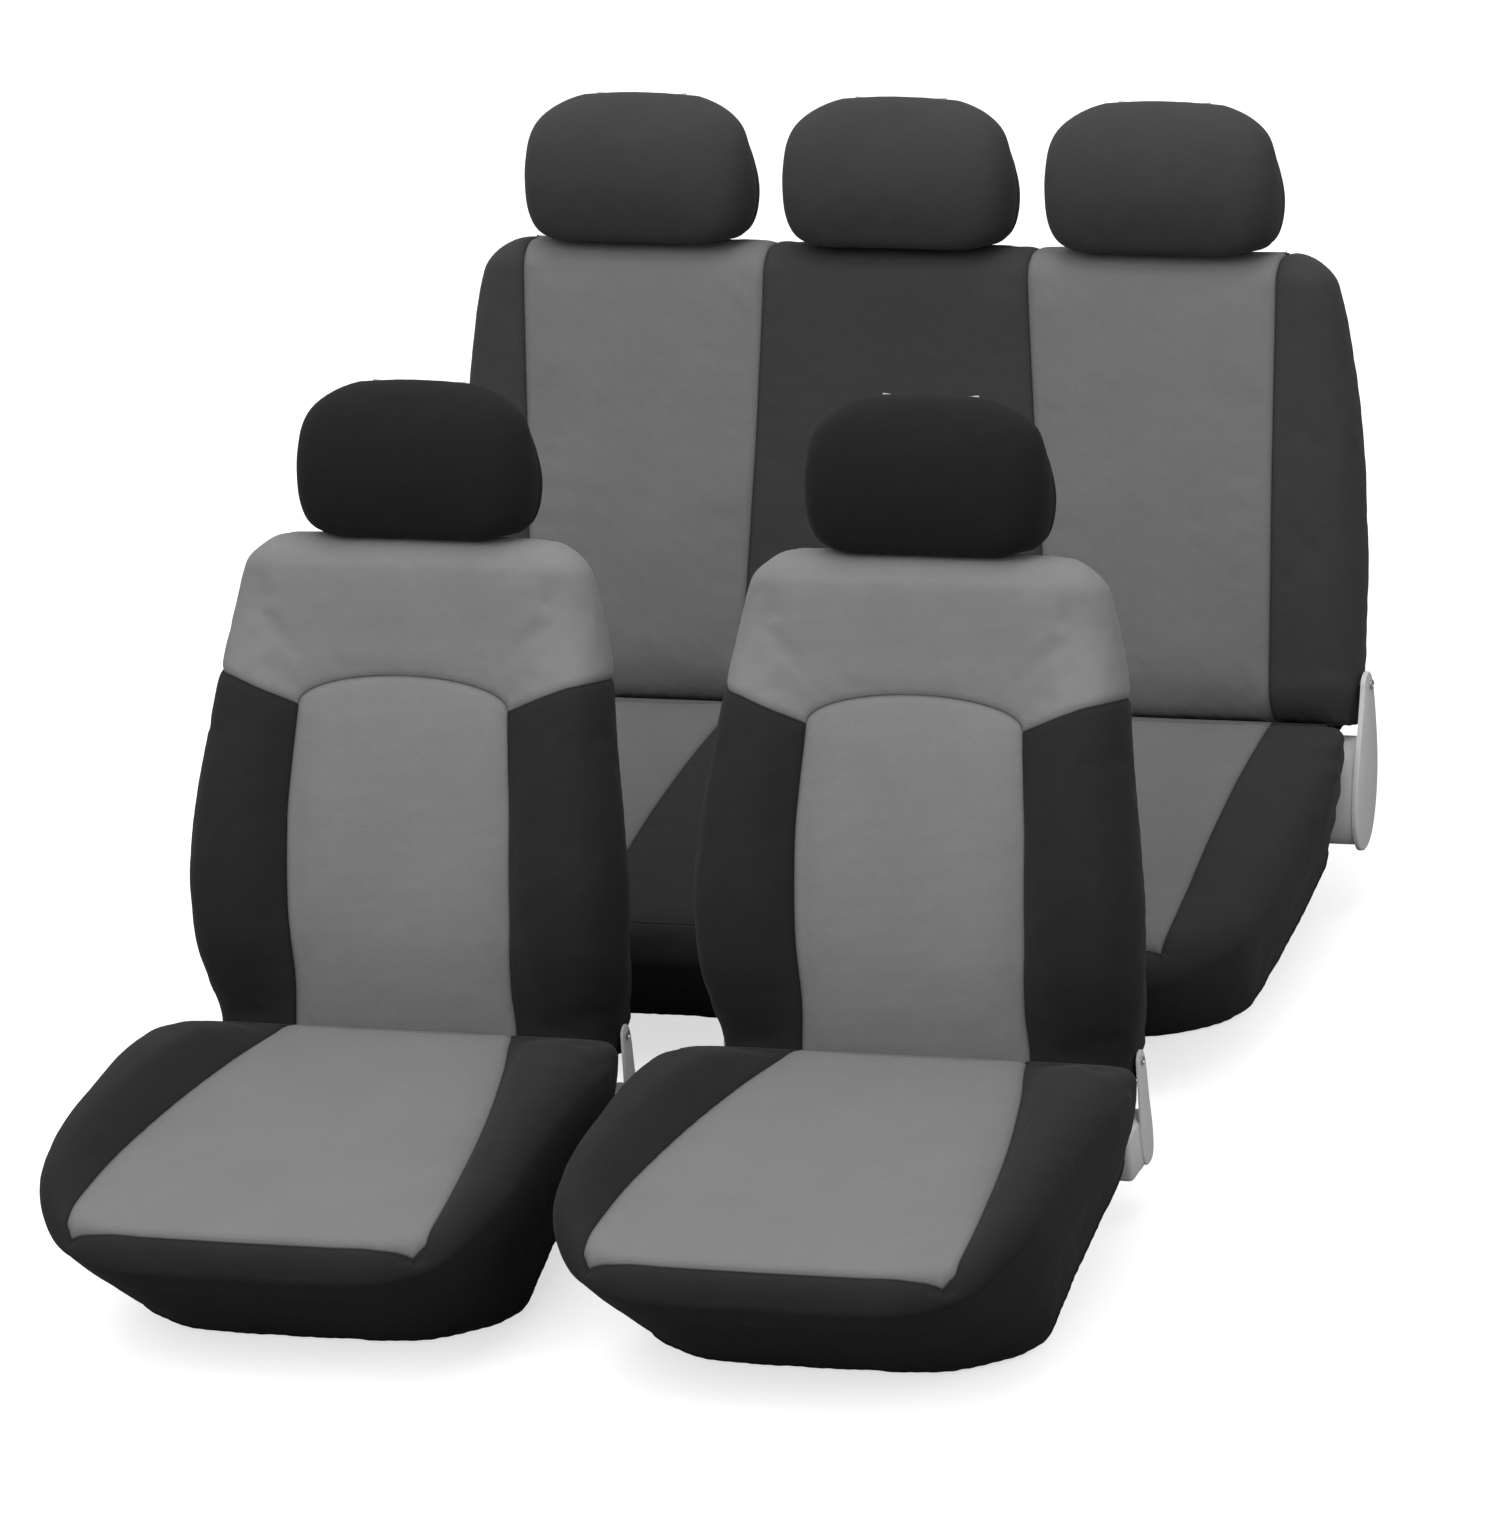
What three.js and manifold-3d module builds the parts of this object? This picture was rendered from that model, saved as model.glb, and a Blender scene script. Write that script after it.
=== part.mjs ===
// Seat cover set for a car: two front seats and one rear bench.
// Each cut fabric panel is a solid of its own, stretched over a plain seat form.
// The forms carry the hinges and the headrest posts.
// Millimetres, +Z up. The seats face -Y; +X and "right" are to the right of someone who
// looks at their fronts.
import * as THREE from "three";
import { mergeVertices } from "three/addons/utils/BufferGeometryUtils.js";
import Module from "manifold-3d";

const wasm = await Module();
wasm.setup();

// ---------- shared dimensions ----------
const ORIGIN_Y = 305.1547; // from the front crease line back to the middle of the set
const FABRIC = 4; // foam-backed knit, with its lining
const GAP = 1.5; // between a cover and the form under it
const FORM_INSET = FABRIC + GAP; // from a cover's outer face to the form
const SEAM = 0.4; // between two sewn panels
const SKIN_LIFT = 0.5; // a skin's top point above the top of its sides

const FRONT_SPACING = 650; // between the two front seats' centre lines
const REAR_CREASE_Y = 845; // rear crease behind the front crease

const POST = { radius: 5.5, x: 75, y: 50 }; // x from the headrest's middle, y from the face
const POST_BORE_R = 7; // in the form
const POST_OPENING_R = 9.5; // in the cover
const POST_OPENING_LOW = 500;
const POST_CUT_TOP = 640; // clear of the backrests' tops
const ROD_R = 9; // hinge rod
const ROD_BORE_R = 10.4; // in the form
const ROD_OPENING_R = 16; // in the cover
const ROUND_STEPS = 8; // facets round posts, rods and their holes
const CAP_STEPS = 6; // facets round the rod's caps
const ARC_STEPS = 7; // half the segments of a hinge plate's arc
const SIDES = [["left", -1], ["right", 1]];

// ---------- materials ----------
const GREY = new THREE.MeshStandardMaterial({ color: 0x8a8a8a, roughness: 0.9 });
const BLACK = new THREE.MeshStandardMaterial({ color: 0x262626, roughness: 0.9 });
const PALE = new THREE.MeshStandardMaterial({ color: 0xc4c4c2, roughness: 0.85 });
const STEEL = new THREE.MeshStandardMaterial({ color: 0xb8bbbe, roughness: 0.25, metalness: 1 });
const SHIELD = new THREE.MeshStandardMaterial({ color: 0xbdbdbb, roughness: 0.5 });
const WEB = new THREE.MeshStandardMaterial({ color: 0x1b1b1b, roughness: 0.8 });
const PLASTIC = new THREE.MeshStandardMaterial({ color: 0x151515, roughness: 0.4 });

// ---------- numbers and outlines ----------
const radians = (degrees) => (degrees * Math.PI) / 180;
const ramp = (value, [from, to]) => THREE.MathUtils.smoothstep(value, from, to);

// Cubic through a table of [position, value], with limited slopes so it never overshoots.
function curve(table, at) {
  const last = table.length - 1;
  if (at <= table[0][0]) return table[0][1];
  if (at >= table[last][0]) return table[last][1];
  let i = 0;
  while (at > table[i + 1][0]) i++;
  const rate = (k) => (table[k + 1][1] - table[k][1]) / (table[k + 1][0] - table[k][0]);
  const slope = (k) => {
    if (k <= 0 || k >= last || rate(k - 1) * rate(k) <= 0) return 0;
    return (2 * rate(k - 1) * rate(k)) / (rate(k - 1) + rate(k));
  };
  const [start, startValue] = table[i];
  const [end, endValue] = table[i + 1];
  const step = end - start;
  const t = (at - start) / step;
  return (2 * t ** 3 - 3 * t ** 2 + 1) * startValue
    + (t ** 3 - 2 * t ** 2 + t) * slope(i) * step
    + (3 * t ** 2 - 2 * t ** 3) * endValue
    + (t ** 3 - t ** 2) * slope(i + 1) * step;
}

// An outline followed by its mirror image in x, run backwards.
const mirrored = (points) => [...points, ...points.map(([x, y]) => [-x, y]).reverse()];

// The outline between two lines, each giving x at a station.
const band = (stations, low, high) => [
  ...stations.map((at) => [high(at), at]),
  ...stations.map((at) => [low(at), at]).reverse(),
];

// The x range from near to far on one side of the centre.
const span = (side, near, far) => (side < 0 ? [-far, -near] : [near, far]);

// Points round a rectangle of half sizes w and h, from the middle of the front (y < 0).
// layout: fractions (above 1: millimetres) along the front, arc steps of the front and
// rear corners, fractions along the side and along the back.
function ringOf(w, h, frontRadius, rearRadius, layout) {
  const rf = Math.min(frontRadius, w, h);
  const rb = Math.min(rearRadius, w, h);
  const half = layout.front.map((t) => [t > 1 ? Math.min(t, (w - rf) * 0.97) : t * (w - rf), -h]);
  for (let k = 0; k <= layout.steps[0]; k++) {
    const angle = (k / layout.steps[0]) * Math.PI / 2;
    half.push([w - rf + rf * Math.sin(angle), -h + rf - rf * Math.cos(angle)]);
  }
  for (const t of layout.side ?? []) half.push([w, -h + rf + t * (2 * h - rf - rb)]);
  for (let k = 0; k <= layout.steps[1]; k++) {
    const angle = (k / layout.steps[1]) * Math.PI / 2;
    half.push([w - rb + rb * Math.cos(angle), h - rb + rb * Math.sin(angle)]);
  }
  for (const t of layout.back) half.push([t * (w - rb), h]);
  return [...half, ...half.slice(1, -1).reverse().map(([x, y]) => [-x, y])];
}

// ---------- solids ----------
function solid(geometry) {
  geometry.deleteAttribute("normal");
  geometry.deleteAttribute("uv");
  const merged = mergeVertices(geometry, 1e-3);
  const vertProperties = new Float32Array(merged.attributes.position.array);
  const triVerts = new Uint32Array(merged.index.array);
  const make = () => new wasm.Manifold(new wasm.Mesh({ numProp: 3, vertProperties, triVerts }));
  const body = make();
  if (body.volume() > 0) return body;
  // inside out: turn every triangle over
  for (let i = 0; i < triVerts.length; i += 3) {
    [triVerts[i + 1], triVerts[i + 2]] = [triVerts[i + 2], triVerts[i + 1]];
  }
  return make();
}

const union = (bodies) => bodies.reduce((sum, body) => sum.add(body));

function box([x0, x1], [y0, y1], [z0, z1]) {
  const geometry = new THREE.BoxGeometry(x1 - x0, y1 - y0, z1 - z0);
  return solid(geometry.translate((x0 + x1) / 2, (y0 + y1) / 2, (z0 + z1) / 2));
}
const centredBox = (halfWidth, y, z) => box([-halfWidth, halfWidth], y, z);

function rodX(radius, [x0, x1], y, z, steps = ROUND_STEPS) {
  const geometry = new THREE.CylinderGeometry(radius, radius, x1 - x0, steps);
  return solid(geometry.rotateZ(Math.PI / 2).translate((x0 + x1) / 2, y, z));
}
function rodZ(radius, z0, z1, x, y) {
  const geometry = new THREE.CylinderGeometry(radius, radius, z1 - z0, ROUND_STEPS);
  return solid(geometry.rotateX(Math.PI / 2).translate(x, y, (z0 + z1) / 2));
}

// Prisms over a polygon in the two named axes, between two places on the third.
const polygon = (points) => new THREE.Shape(points.map(([a, b]) => new THREE.Vector2(a, b)));
function prism(shape, depth, rows) {
  const options = { depth, bevelEnabled: false, curveSegments: ARC_STEPS };
  const matrix = new THREE.Matrix4().set(...rows, 0, 0, 0, 1);
  return solid(new THREE.ExtrudeGeometry(shape, options).applyMatrix4(matrix));
}
const prismXY = (points, z0, z1) =>
  prism(polygon(points), z1 - z0, [1, 0, 0, 0, 0, 1, 0, 0, 0, 0, 1, z0]);
const prismXZ = (points, y0, y1) =>
  prism(polygon(points), y1 - y0, [1, 0, 0, 0, 0, 0, 1, y0, 0, 1, 0, 0]);
const prismYZ = (shape, [x0, x1]) => prism(shape, x1 - x0, [0, 0, 1, x0, 1, 0, 0, 0, 0, 1, 0, 0]);

// A closed body from rings of points between two poles.
// From ring number turn on, the squares are split along their other diagonal.
function ringBody(firstPole, rings, lastPole, turn = Infinity) {
  const count = rings[0].length;
  const points = [firstPole, ...rings.flat(), lastPole];
  const last = points.length - 1;
  const at = (r, k) => 1 + r * count + (k % count);
  const index = [];
  for (let k = 0; k < count; k++) {
    index.push(0, at(0, k), at(0, k + 1));
    index.push(last, at(rings.length - 1, k + 1), at(rings.length - 1, k));
    for (let r = 0; r < rings.length - 1; r++) {
      const here = at(r, k);
      const beside = at(r, k + 1);
      const below = at(r + 1, k);
      const across = at(r + 1, k + 1);
      if (r < turn) index.push(here, below, across, here, across, beside);
      else index.push(here, below, beside, below, across, beside);
    }
  }
  const geometry = new THREE.BufferGeometry();
  geometry.setAttribute("position", new THREE.Float32BufferAttribute(points.flat(), 3));
  geometry.setIndex(index);
  return solid(geometry);
}

// A skin (a pole and its rings) moved inwards along its normals, so that a lining never
// crosses its face.
function inward({ pole, rings }, distance) {
  const count = rings[0].length;
  const points = [pole, ...rings.flat()].map((point) => new THREE.Vector3(...point));
  const at = (r, k) => 1 + r * count + (k % count);
  const faces = [];
  for (let k = 0; k < count; k++) {
    faces.push([0, at(0, k), at(0, k + 1)]);
    for (let r = 0; r < rings.length - 1; r++) {
      faces.push([at(r, k), at(r + 1, k), at(r + 1, k + 1)]);
      faces.push([at(r, k), at(r + 1, k + 1), at(r, k + 1)]);
    }
  }
  const sums = points.map(() => new THREE.Vector3());
  const touching = points.map(() => []); // normals of the faces round each point
  for (const face of faces) {
    const [a, b, c] = face.map((i) => points[i]);
    const normal = b.clone().sub(a).cross(c.clone().sub(a));
    if (normal.length() < 1e-6) continue;
    normal.normalize();
    face.forEach((corner, j) => {
      const toNext = points[face[(j + 1) % 3]].clone().sub(points[corner]);
      const toOther = points[face[(j + 2) % 3]].clone().sub(points[corner]);
      sums[corner].addScaledVector(normal, toNext.angleTo(toOther));
      touching[corner].push(normal);
    });
  }
  const moved = points.map((point, i) => {
    const normal = sums[i].normalize();
    let miter = 1;
    for (const other of touching[i]) miter = Math.min(miter, normal.dot(other));
    const step = -distance / Math.max(0.62, miter); // limits the reach at sharp corners
    return [point.x + normal.x * step, point.y + normal.y * step, point.z + normal.z * step];
  });
  return { pole: moved[0], rings: rings.map((ring, r) => ring.map((_, k) => moved[at(r, k)])) };
}

// A cover: the outer skin, and the same skin one fabric thickness further in.
function shellOf(skin) {
  const lining = inward(skin, FABRIC);
  const rings = [...skin.rings, ...lining.rings.reverse()];
  return ringBody(skin.pole, rings, lining.pole, skin.rings.length);
}

// The rings that round a top over; ringAt takes a height and an inset.
const crownRings = (top, radius, angles, ringAt) =>
  angles.map(radians).map((t) =>
    ringAt(top - radius * (1 - Math.cos(t)), radius * (1 - Math.sin(t))));

function put(group, name, body, material) {
  const { vertProperties, triVerts } = body.getMesh();
  const geometry = new THREE.BufferGeometry();
  geometry.setAttribute("position", new THREE.BufferAttribute(vertProperties, 3));
  geometry.setIndex(new THREE.BufferAttribute(triVerts, 1));
  geometry.computeVertexNormals();
  const mesh = new THREE.Mesh(geometry, material);
  mesh.name = name;
  group.add(mesh);
}

function addGroup(parent, x, y, z) {
  const group = new THREE.Group();
  group.position.set(x, y, z);
  parent.add(group);
  return group;
}

// ---------- backrest: a bag open at the bottom, pulled over the form ----------
// Coordinates: x across, y back from the front face, z up along the backrest.
const MIN_HALF_DEPTH = 4;
const MIN_CORNER = 4;
// where each change to a backrest's plain section fades in or out
const BACK_FADE = {
  front: [0.1, 0.95], // bolsters, by share of the half depth forwards
  rear: [-0.3, 1], // narrowing, by share of the half depth backwards
  narrowIn: [-10, 110], // height where the narrowing starts
  narrowOut: [330, 520], // height where it ends
  bolster: [-12, 50], // outwards from the centre panel's edge
  arch: [-130, -20], // height from the top
};
const ARCH_X = 195; // where a top's drop reaches the spec's arch

function backRing(spec, height, inset) {
  const w = curve(spec.widths, height) - inset;
  let h = curve(spec.depths, height) / 2;
  let middleY = h;
  if (height < spec.pivot.z) { // the rounded lower end
    middleY = spec.pivot.y;
    h = Math.sqrt(Math.max(4, spec.pivot.radius ** 2 - (height - spec.pivot.z) ** 2));
  }
  h = Math.max(MIN_HALF_DEPTH, h - inset);
  const corner = Math.max(MIN_CORNER, Math.min(spec.corner, h + inset) - inset);
  return ringOf(w, h, corner, corner, spec.layout).map(([x0, y]) => {
    const narrowing = spec.narrow * ramp(y / h, BACK_FADE.rear)
      * ramp(height, BACK_FADE.narrowIn) * (1 - ramp(height, BACK_FADE.narrowOut));
    const x = x0 * (1 - narrowing);
    const bolster = spec.bolster
      ? curve(spec.bolster, height) * ramp(Math.abs(x) - spec.panel, BACK_FADE.bolster)
        * ramp(-y / h, BACK_FADE.front)
      : 0;
    const lumbar = spec.lumbar ? curve(spec.lumbar, height) : 0;
    const arch = spec.arch * (x / ARCH_X) ** 2 * ramp(height - spec.top, BACK_FADE.arch);
    return [x, middleY + y - bolster - lumbar, height - arch];
  });
}
function backSkin(spec) {
  const crown = crownRings(spec.top, spec.crown, [8, 48], (z, inset) => backRing(spec, z, inset));
  return {
    pole: [0, curve(spec.depths, spec.top) / 2, spec.top + SKIN_LIFT],
    rings: [...crown, ...spec.stations.map((z) => backRing(spec, z, 0))],
  };
}
function backForm(spec) {
  const { pole, rings } = inward(backSkin(spec), FORM_INSET);
  for (const z of spec.formEnd) rings.push(backRing(spec, z, FORM_INSET));
  const { y, z, radius } = spec.pivot;
  return ringBody(pole, rings, [0, y, z - radius + FORM_INSET + 0.3]);
}

// Holes for headrest posts from low up through the top.
const postHoles = (radius, low, centres, y) =>
  union(centres.flatMap((x) =>
    [-1, 1].map((side) => rodZ(radius, low, POST_CUT_TOP, x + side * POST.x, y))));

// ---------- cushion: a fitted sheet over the form, open underneath ----------
// Coordinates: x across, y = -f (f forwards from the crease), z up from the crease.
const REAR_EDGE = 10; // edge rounding at the crease
const EDGE_GROWTH = [0, 130]; // f where it grows to the spec's own edge
const CUSHION_BOLSTER_FADE = [-4, 45]; // outwards from the centre panel's edge
const TUCK_START = 0.35; // share of the length where the skirt's tuck begins
// Rings from the middle outwards: turn is the angle round the edge, shrink scales the ring
// towards the middle, drop is the share of the skirt's height.
const CUSHION_RINGS = [
  { shrink: 0.5, turn: 0 }, { turn: 0 }, { turn: 45 },
  { turn: 90, drop: 0 }, { turn: 90, drop: 0.5 }, { turn: 90, drop: 1 },
];

function cushionTop(spec, x, f) {
  const top = curve(spec.topline, f);
  if (!spec.bolster) return top;
  const outwards = Math.abs(x) - curve(spec.panel, f);
  return top + curve(spec.bolster, f) * ramp(outwards, CUSHION_BOLSTER_FADE);
}
function cushionRing(spec, { turn, shrink = 1, drop }) {
  const halfLength = (spec.length - spec.rear) / 2;
  const front = halfLength + spec.rear; // f of the outline's middle
  const outer = ringOf(spec.wide, halfLength, spec.cornerFront, spec.cornerRear, spec.layout);
  const count = outer.length;
  const angle = radians(turn);
  return outer.map(([x0, y0], i) => {
    const next = outer[(i + 1) % count];
    const previous = outer[(i + count - 1) % count];
    let normalX = -(next[1] - previous[1]);
    let normalY = next[0] - previous[0];
    const length = Math.hypot(normalX, normalY) || 1;
    normalX /= length;
    normalY /= length;
    if (normalX * x0 + normalY * y0 < 0) [normalX, normalY] = [-normalX, -normalY];
    const edge = REAR_EDGE + (spec.edge - REAR_EDGE) * ramp(front - y0, EDGE_GROWTH);
    const inset = edge * (1 - Math.sin(angle));
    let f = front - (y0 - normalY * inset);
    let x = (x0 - normalX * inset) * (curve(spec.widths, f) / spec.wide);
    x *= shrink;
    f = spec.mid + (f - spec.mid) * shrink;
    const top = cushionTop(spec, x, f);
    if (drop === undefined) return [x, -f, top - edge * (1 - Math.cos(angle))];
    // skirt: from the rounded edge down to the hem, drawn in at the front and the sides
    const skirtTop = top - edge;
    const z = skirtTop + (curve(spec.hem, f) - skirtTop) * drop;
    const fall = (skirtTop - z) / (skirtTop + spec.creaseZ);
    f -= spec.tuck * ramp(f, [spec.length * TUCK_START, spec.length]) * fall;
    return [x * (1 - spec.taper * fall), -f, z];
  });
}
const cushionSkin = (spec) => ({
  pole: [0, -spec.mid, cushionTop(spec, 0, spec.mid)],
  rings: CUSHION_RINGS.map((ring) => cushionRing(spec, ring)),
});
function cushionForm(spec) {
  const { pole, rings } = inward(cushionSkin(spec), FORM_INSET);
  const hemTop = Math.max(...rings.at(-1).map((point) => point[2]));
  return ringBody(pole, rings, [0, -spec.mid + 40, hemTop - 30]);
}

// ---------- headrest ----------
const HEAD = {
  tall: 184,
  lift: 3, // above the backrest's top
  crown: 30,
  corner: 42,
  arch: { drop: 12, x: 130, heights: [100, 180] }, // the top falls towards its ends
  lip: { drop: 14, heights: [0, 45] }, // the lower front edge hangs down
  stations: [130, 70, 25, 4],
  underInset: 19, // the underside's ring
  layout: { front: [0], steps: [2, 2], back: [0] },
  // [height, half width], [height, half depth], [height, y of the front face]
  widths: [[0, 104], [12, 124], [35, 141], [80, 150], [120, 147], [160, 133], [186, 112]],
  depths: [[0, 44], [20, 55], [60, 60], [110, 53], [160, 42], [190, 34]],
  faces: [[0, 6], [20, -8], [70, -14], [120, -10], [160, 2], [190, 16]],
};
const POST_LOW = -190; // all three from the headrest's base
const POST_TOP = 95;
const POST_SLOT_LOW = -20;

const headMiddle = (height) => curve(HEAD.faces, height) + curve(HEAD.depths, height);

function headRing(height, inset) {
  const { arch, lip } = HEAD;
  const w = curve(HEAD.widths, height) - inset;
  const h = Math.max(MIN_HALF_DEPTH, curve(HEAD.depths, height) - inset);
  const corner = Math.min(h, HEAD.corner);
  const archDrop = arch.drop * ramp(height, arch.heights);
  const lipDrop = lip.drop * (1 - ramp(height, lip.heights));
  return ringOf(w, h, corner, corner, HEAD.layout).map(([x, y]) => {
    const forwards = Math.max(0, -y / (h + inset));
    const z = height - archDrop * (x / arch.x) ** 2 - lipDrop * forwards ** 3;
    return [x, headMiddle(height) + y, z];
  });
}
function headSkin() {
  const rings = crownRings(HEAD.tall, HEAD.crown, [12, 52], headRing);
  for (const height of HEAD.stations) rings.push(headRing(height, 0));
  rings.push(headRing(0, HEAD.underInset));
  return { pole: [0, headMiddle(HEAD.tall), HEAD.tall + SKIN_LIFT], rings };
}
function headCore() {
  const { pole, rings } = inward(headSkin(), FORM_INSET);
  const last = rings.at(-1);
  const mean = (axis) => last.reduce((sum, point) => sum + point[axis] / last.length, 0);
  return ringBody(pole, rings, [0, mean(1), mean(2)]);
}
// Two legs down into the backrest, and a bar across inside the headrest.
const postBody = (radius, low, high) => union([
  rodZ(radius, low, high, -POST.x, POST.y),
  rodZ(radius, low, high, POST.x, POST.y),
  rodX(radius, [-POST.x, POST.x], POST.y, high - radius * 0.2),
]);
function headrest(back, name, x, y, backTop) {
  const group = addGroup(back, x, y, backTop + HEAD.lift);
  const slot = postBody(POST.radius + 0.5, POST_SLOT_LOW, POST_TOP + 0.4);
  put(group, name + "_cover", shellOf(headSkin()), BLACK);
  put(group, name + "_core", headCore().subtract(slot), PALE);
  put(group, name + "_posts", postBody(POST.radius, POST_LOW, POST_TOP), STEEL);
}

// ---------- hinge ----------
const PLATE = {
  thickness: 6,
  radius: 24, // round the rod
  footFront: 30, // the foot's ends in front of and behind the rod
  footBack: 8,
  shoulder: 20, // below the rod, where the rear edge starts to slope
  boreGap: 0.6,
};
const CAP_R = 14;
const CAP_GAP = 0.4; // between a plate and its cap

// A teardrop: round about the rod, with a foot down to the seat's base.
function hingePlate({ y, z }, foot, side, innerX) {
  const outline = new THREE.Shape();
  outline.moveTo(y - PLATE.footFront, foot);
  outline.lineTo(y + PLATE.footBack, foot);
  outline.lineTo(y + PLATE.radius, z - PLATE.shoulder);
  outline.lineTo(y + PLATE.radius, z);
  outline.absarc(y, z, PLATE.radius, 0, Math.PI, false);
  outline.lineTo(y - PLATE.footFront, foot);
  const bore = rodX(ROD_R + PLATE.boreGap, [side * innerX - 20, side * innerX + 20], y, z);
  return prismYZ(outline, span(side, innerX, innerX + PLATE.thickness)).subtract(bore);
}
// The pivot is given in backrest coordinates; the hinge stands in the seat's.
function addHinge(seat, prefix, pivot, recline, { foot, plateX, rodEnd, capEnd }) {
  const y = pivot.y * Math.cos(recline) + pivot.z * Math.sin(recline);
  const z = -pivot.y * Math.sin(recline) + pivot.z * Math.cos(recline);
  for (const [name, side] of SIDES) {
    const plate = hingePlate({ y, z }, foot, side, plateX);
    put(seat, `${prefix}_hinge_plate_${name}`, plate, SHIELD);
  }
  const capStart = plateX + PLATE.thickness + CAP_GAP;
  const caps = SIDES.map(([, side]) =>
    rodX(CAP_R, span(side, capStart, capEnd), y, z, CAP_STEPS));
  put(seat, prefix + "_hinge_rod", union([rodX(ROD_R, [-rodEnd, rodEnd], y, z), ...caps]), STEEL);
}

// ---------- front seat ----------
const FRONT_CREASE_Z = 201; // height of the line where backrest and cushion meet
const FRONT_FLOOR = -FRONT_CREASE_Z;
const FRONT_RECLINE = radians(20.7); // from vertical
const FRONT_REACH = 400; // half width of cuts that pass right through

// Tables: [height along the backrest, value].
const FRONT_BACK = {
  widths: [ // half widths
    [-60, 234], [0, 244], [43, 256], [80, 266], [115, 272], [170, 274], [255, 269],
    [340, 259], [426, 249], [520, 232], [560, 226], [590, 221],
  ],
  depths: [[-60, 120], [100, 120], [300, 110], [500, 96], [590, 92]],
  // how far the face and the side bolsters stand forwards
  lumbar: [[0, 0], [60, 9], [120, 18], [200, 22], [300, 18], [400, 8], [480, 0]],
  bolster: [
    [-60, 0], [0, 0], [25, 4], [60, 17], [110, 31], [180, 36], [280, 32], [380, 22],
    [450, 10], [520, 0], [590, 0],
  ],
  top: 590,
  pivot: { y: 60, z: 0, radius: 60 }, // recliner axis and the rounded lower end
  corner: 44,
  crown: 38,
  panel: 142, // |x| the bolsters rise from
  arch: 4,
  narrow: 0.06,
  stations: [500, 400, 280, 160, 80, 20, -22],
  formEnd: [-42, -53],
  layout: { front: [0, 136, 188], steps: [2, 2], back: [0] },
};
// Tables: [f, value].
const FRONT_CUSHION = {
  widths: [ // half widths
    [-20, 258], [0, 261], [60, 269], [150, 281], [250, 291], [350, 297], [430, 297],
    [500, 292], [560, 284],
  ],
  topline: [
    [-20, 8], [0, 10], [80, 13], [200, 14], [350, 13], [450, 8], [520, 1], [560, -6],
  ],
  bolster: [ // rise of the side bolsters
    [-20, 0], [24, 0], [60, 14], [120, 37], [200, 46], [340, 43], [430, 30], [500, 10],
    [545, 0], [600, 0],
  ],
  panel: [ // centre panel's half widths
    [-40, 143], [0, 145], [120, 174], [230, 198], [330, 214], [410, 223], [470, 227],
    [560, 230],
  ],
  hem: [[0, -88], [130, -118], [272, -152], [350, -172], [430, -195]],
  length: 550,
  rear: 14, // f of the rear end
  mid: 275,
  wide: 297, // widest half width
  cornerFront: 146,
  cornerRear: 26,
  edge: 38,
  creaseZ: FRONT_CREASE_Z,
  tuck: 156,
  taper: 0.11,
  layout: { front: [0, 0.6], steps: [3, 1], back: [0.6, 0], side: [0.25, 0.5, 0.8] },
};
const CUSHION_PANEL_FRONT = [[222, -521], [120, -528]]; // front corners, [x, y]
const PEDESTAL = { half: 185, y: [-292, 20], top: -92 };
const RECLINER_ARMS = { half: 257.6, y: [16, 66], z: [-150, -106] };
const UNDER_STRAP = { half: 236, y: [-345, -305], z: [1.2, 4] }; // z above the floor
const UNDER_BUCKLE = { half: 24, y: [-347, -303], z: [4.3, 8] };

const REAR_PANEL_LEVELS = [-80, 0, 60, 120, 200, 300, 400, 500, 560, 700];
const REAR_PANEL_WRAP = 27; // how far the rear panel comes forwards round the sides
const PANEL_SIDE = [[-60, 143], [0, 143], [60, 139], [150, 142], [250, 142], [330, 138],
  [388, 135]]; // centre panel: [height, half width]
const PANEL_LEVELS = [-80, 0, 60, 150, 250, 330];
const PANEL_ARCH = { half: 135, base: 388, rise: 37, steps: 12 };
// [x, height]: falls from the outer edges to the centre panel's corners
const YOKE_SEAM = mirrored([[-400, 428], [-250, 426], [-215, 419], [-180, 406], [-135, 387]]);
const FRONT_BORE_LOW = 380;
const FRONT_HINGE = { foot: -148, plateX: 258, rodEnd: 266, capEnd: 271 };

const floorBox = ({ half, y, z }) => centredBox(half, y, z.map((up) => FRONT_FLOOR + up));

function cushionPanelCut(grow) {
  const outline = [];
  for (let f = -30; f <= 505; f += 53.5) outline.push([curve(FRONT_CUSHION.panel, f) + grow, -f]);
  for (const [x, y] of CUSHION_PANEL_FRONT) outline.push([x + grow, y - grow]);
  return prismXY(mirrored(outline), -22 - grow, 120);
}
function addFrontCushion(seat, prefix) {
  const shell = shellOf(cushionSkin(FRONT_CUSHION));
  put(seat, prefix + "_cushion_centre_panel", shell.intersect(cushionPanelCut(0)), GREY);
  put(seat, prefix + "_cushion_surround", shell.subtract(cushionPanelCut(SEAM)), BLACK);
  const form = union([
    cushionForm(FRONT_CUSHION),
    centredBox(PEDESTAL.half, PEDESTAL.y, [FRONT_FLOOR, PEDESTAL.top]),
    centredBox(RECLINER_ARMS.half, RECLINER_ARMS.y, RECLINER_ARMS.z),
  ]);
  put(seat, prefix + "_cushion_form", form, PALE);
  put(seat, prefix + "_under_strap", floorBox(UNDER_STRAP), WEB);
  put(seat, prefix + "_strap_buckle", floorBox(UNDER_BUCKLE), PLASTIC);
}

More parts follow.
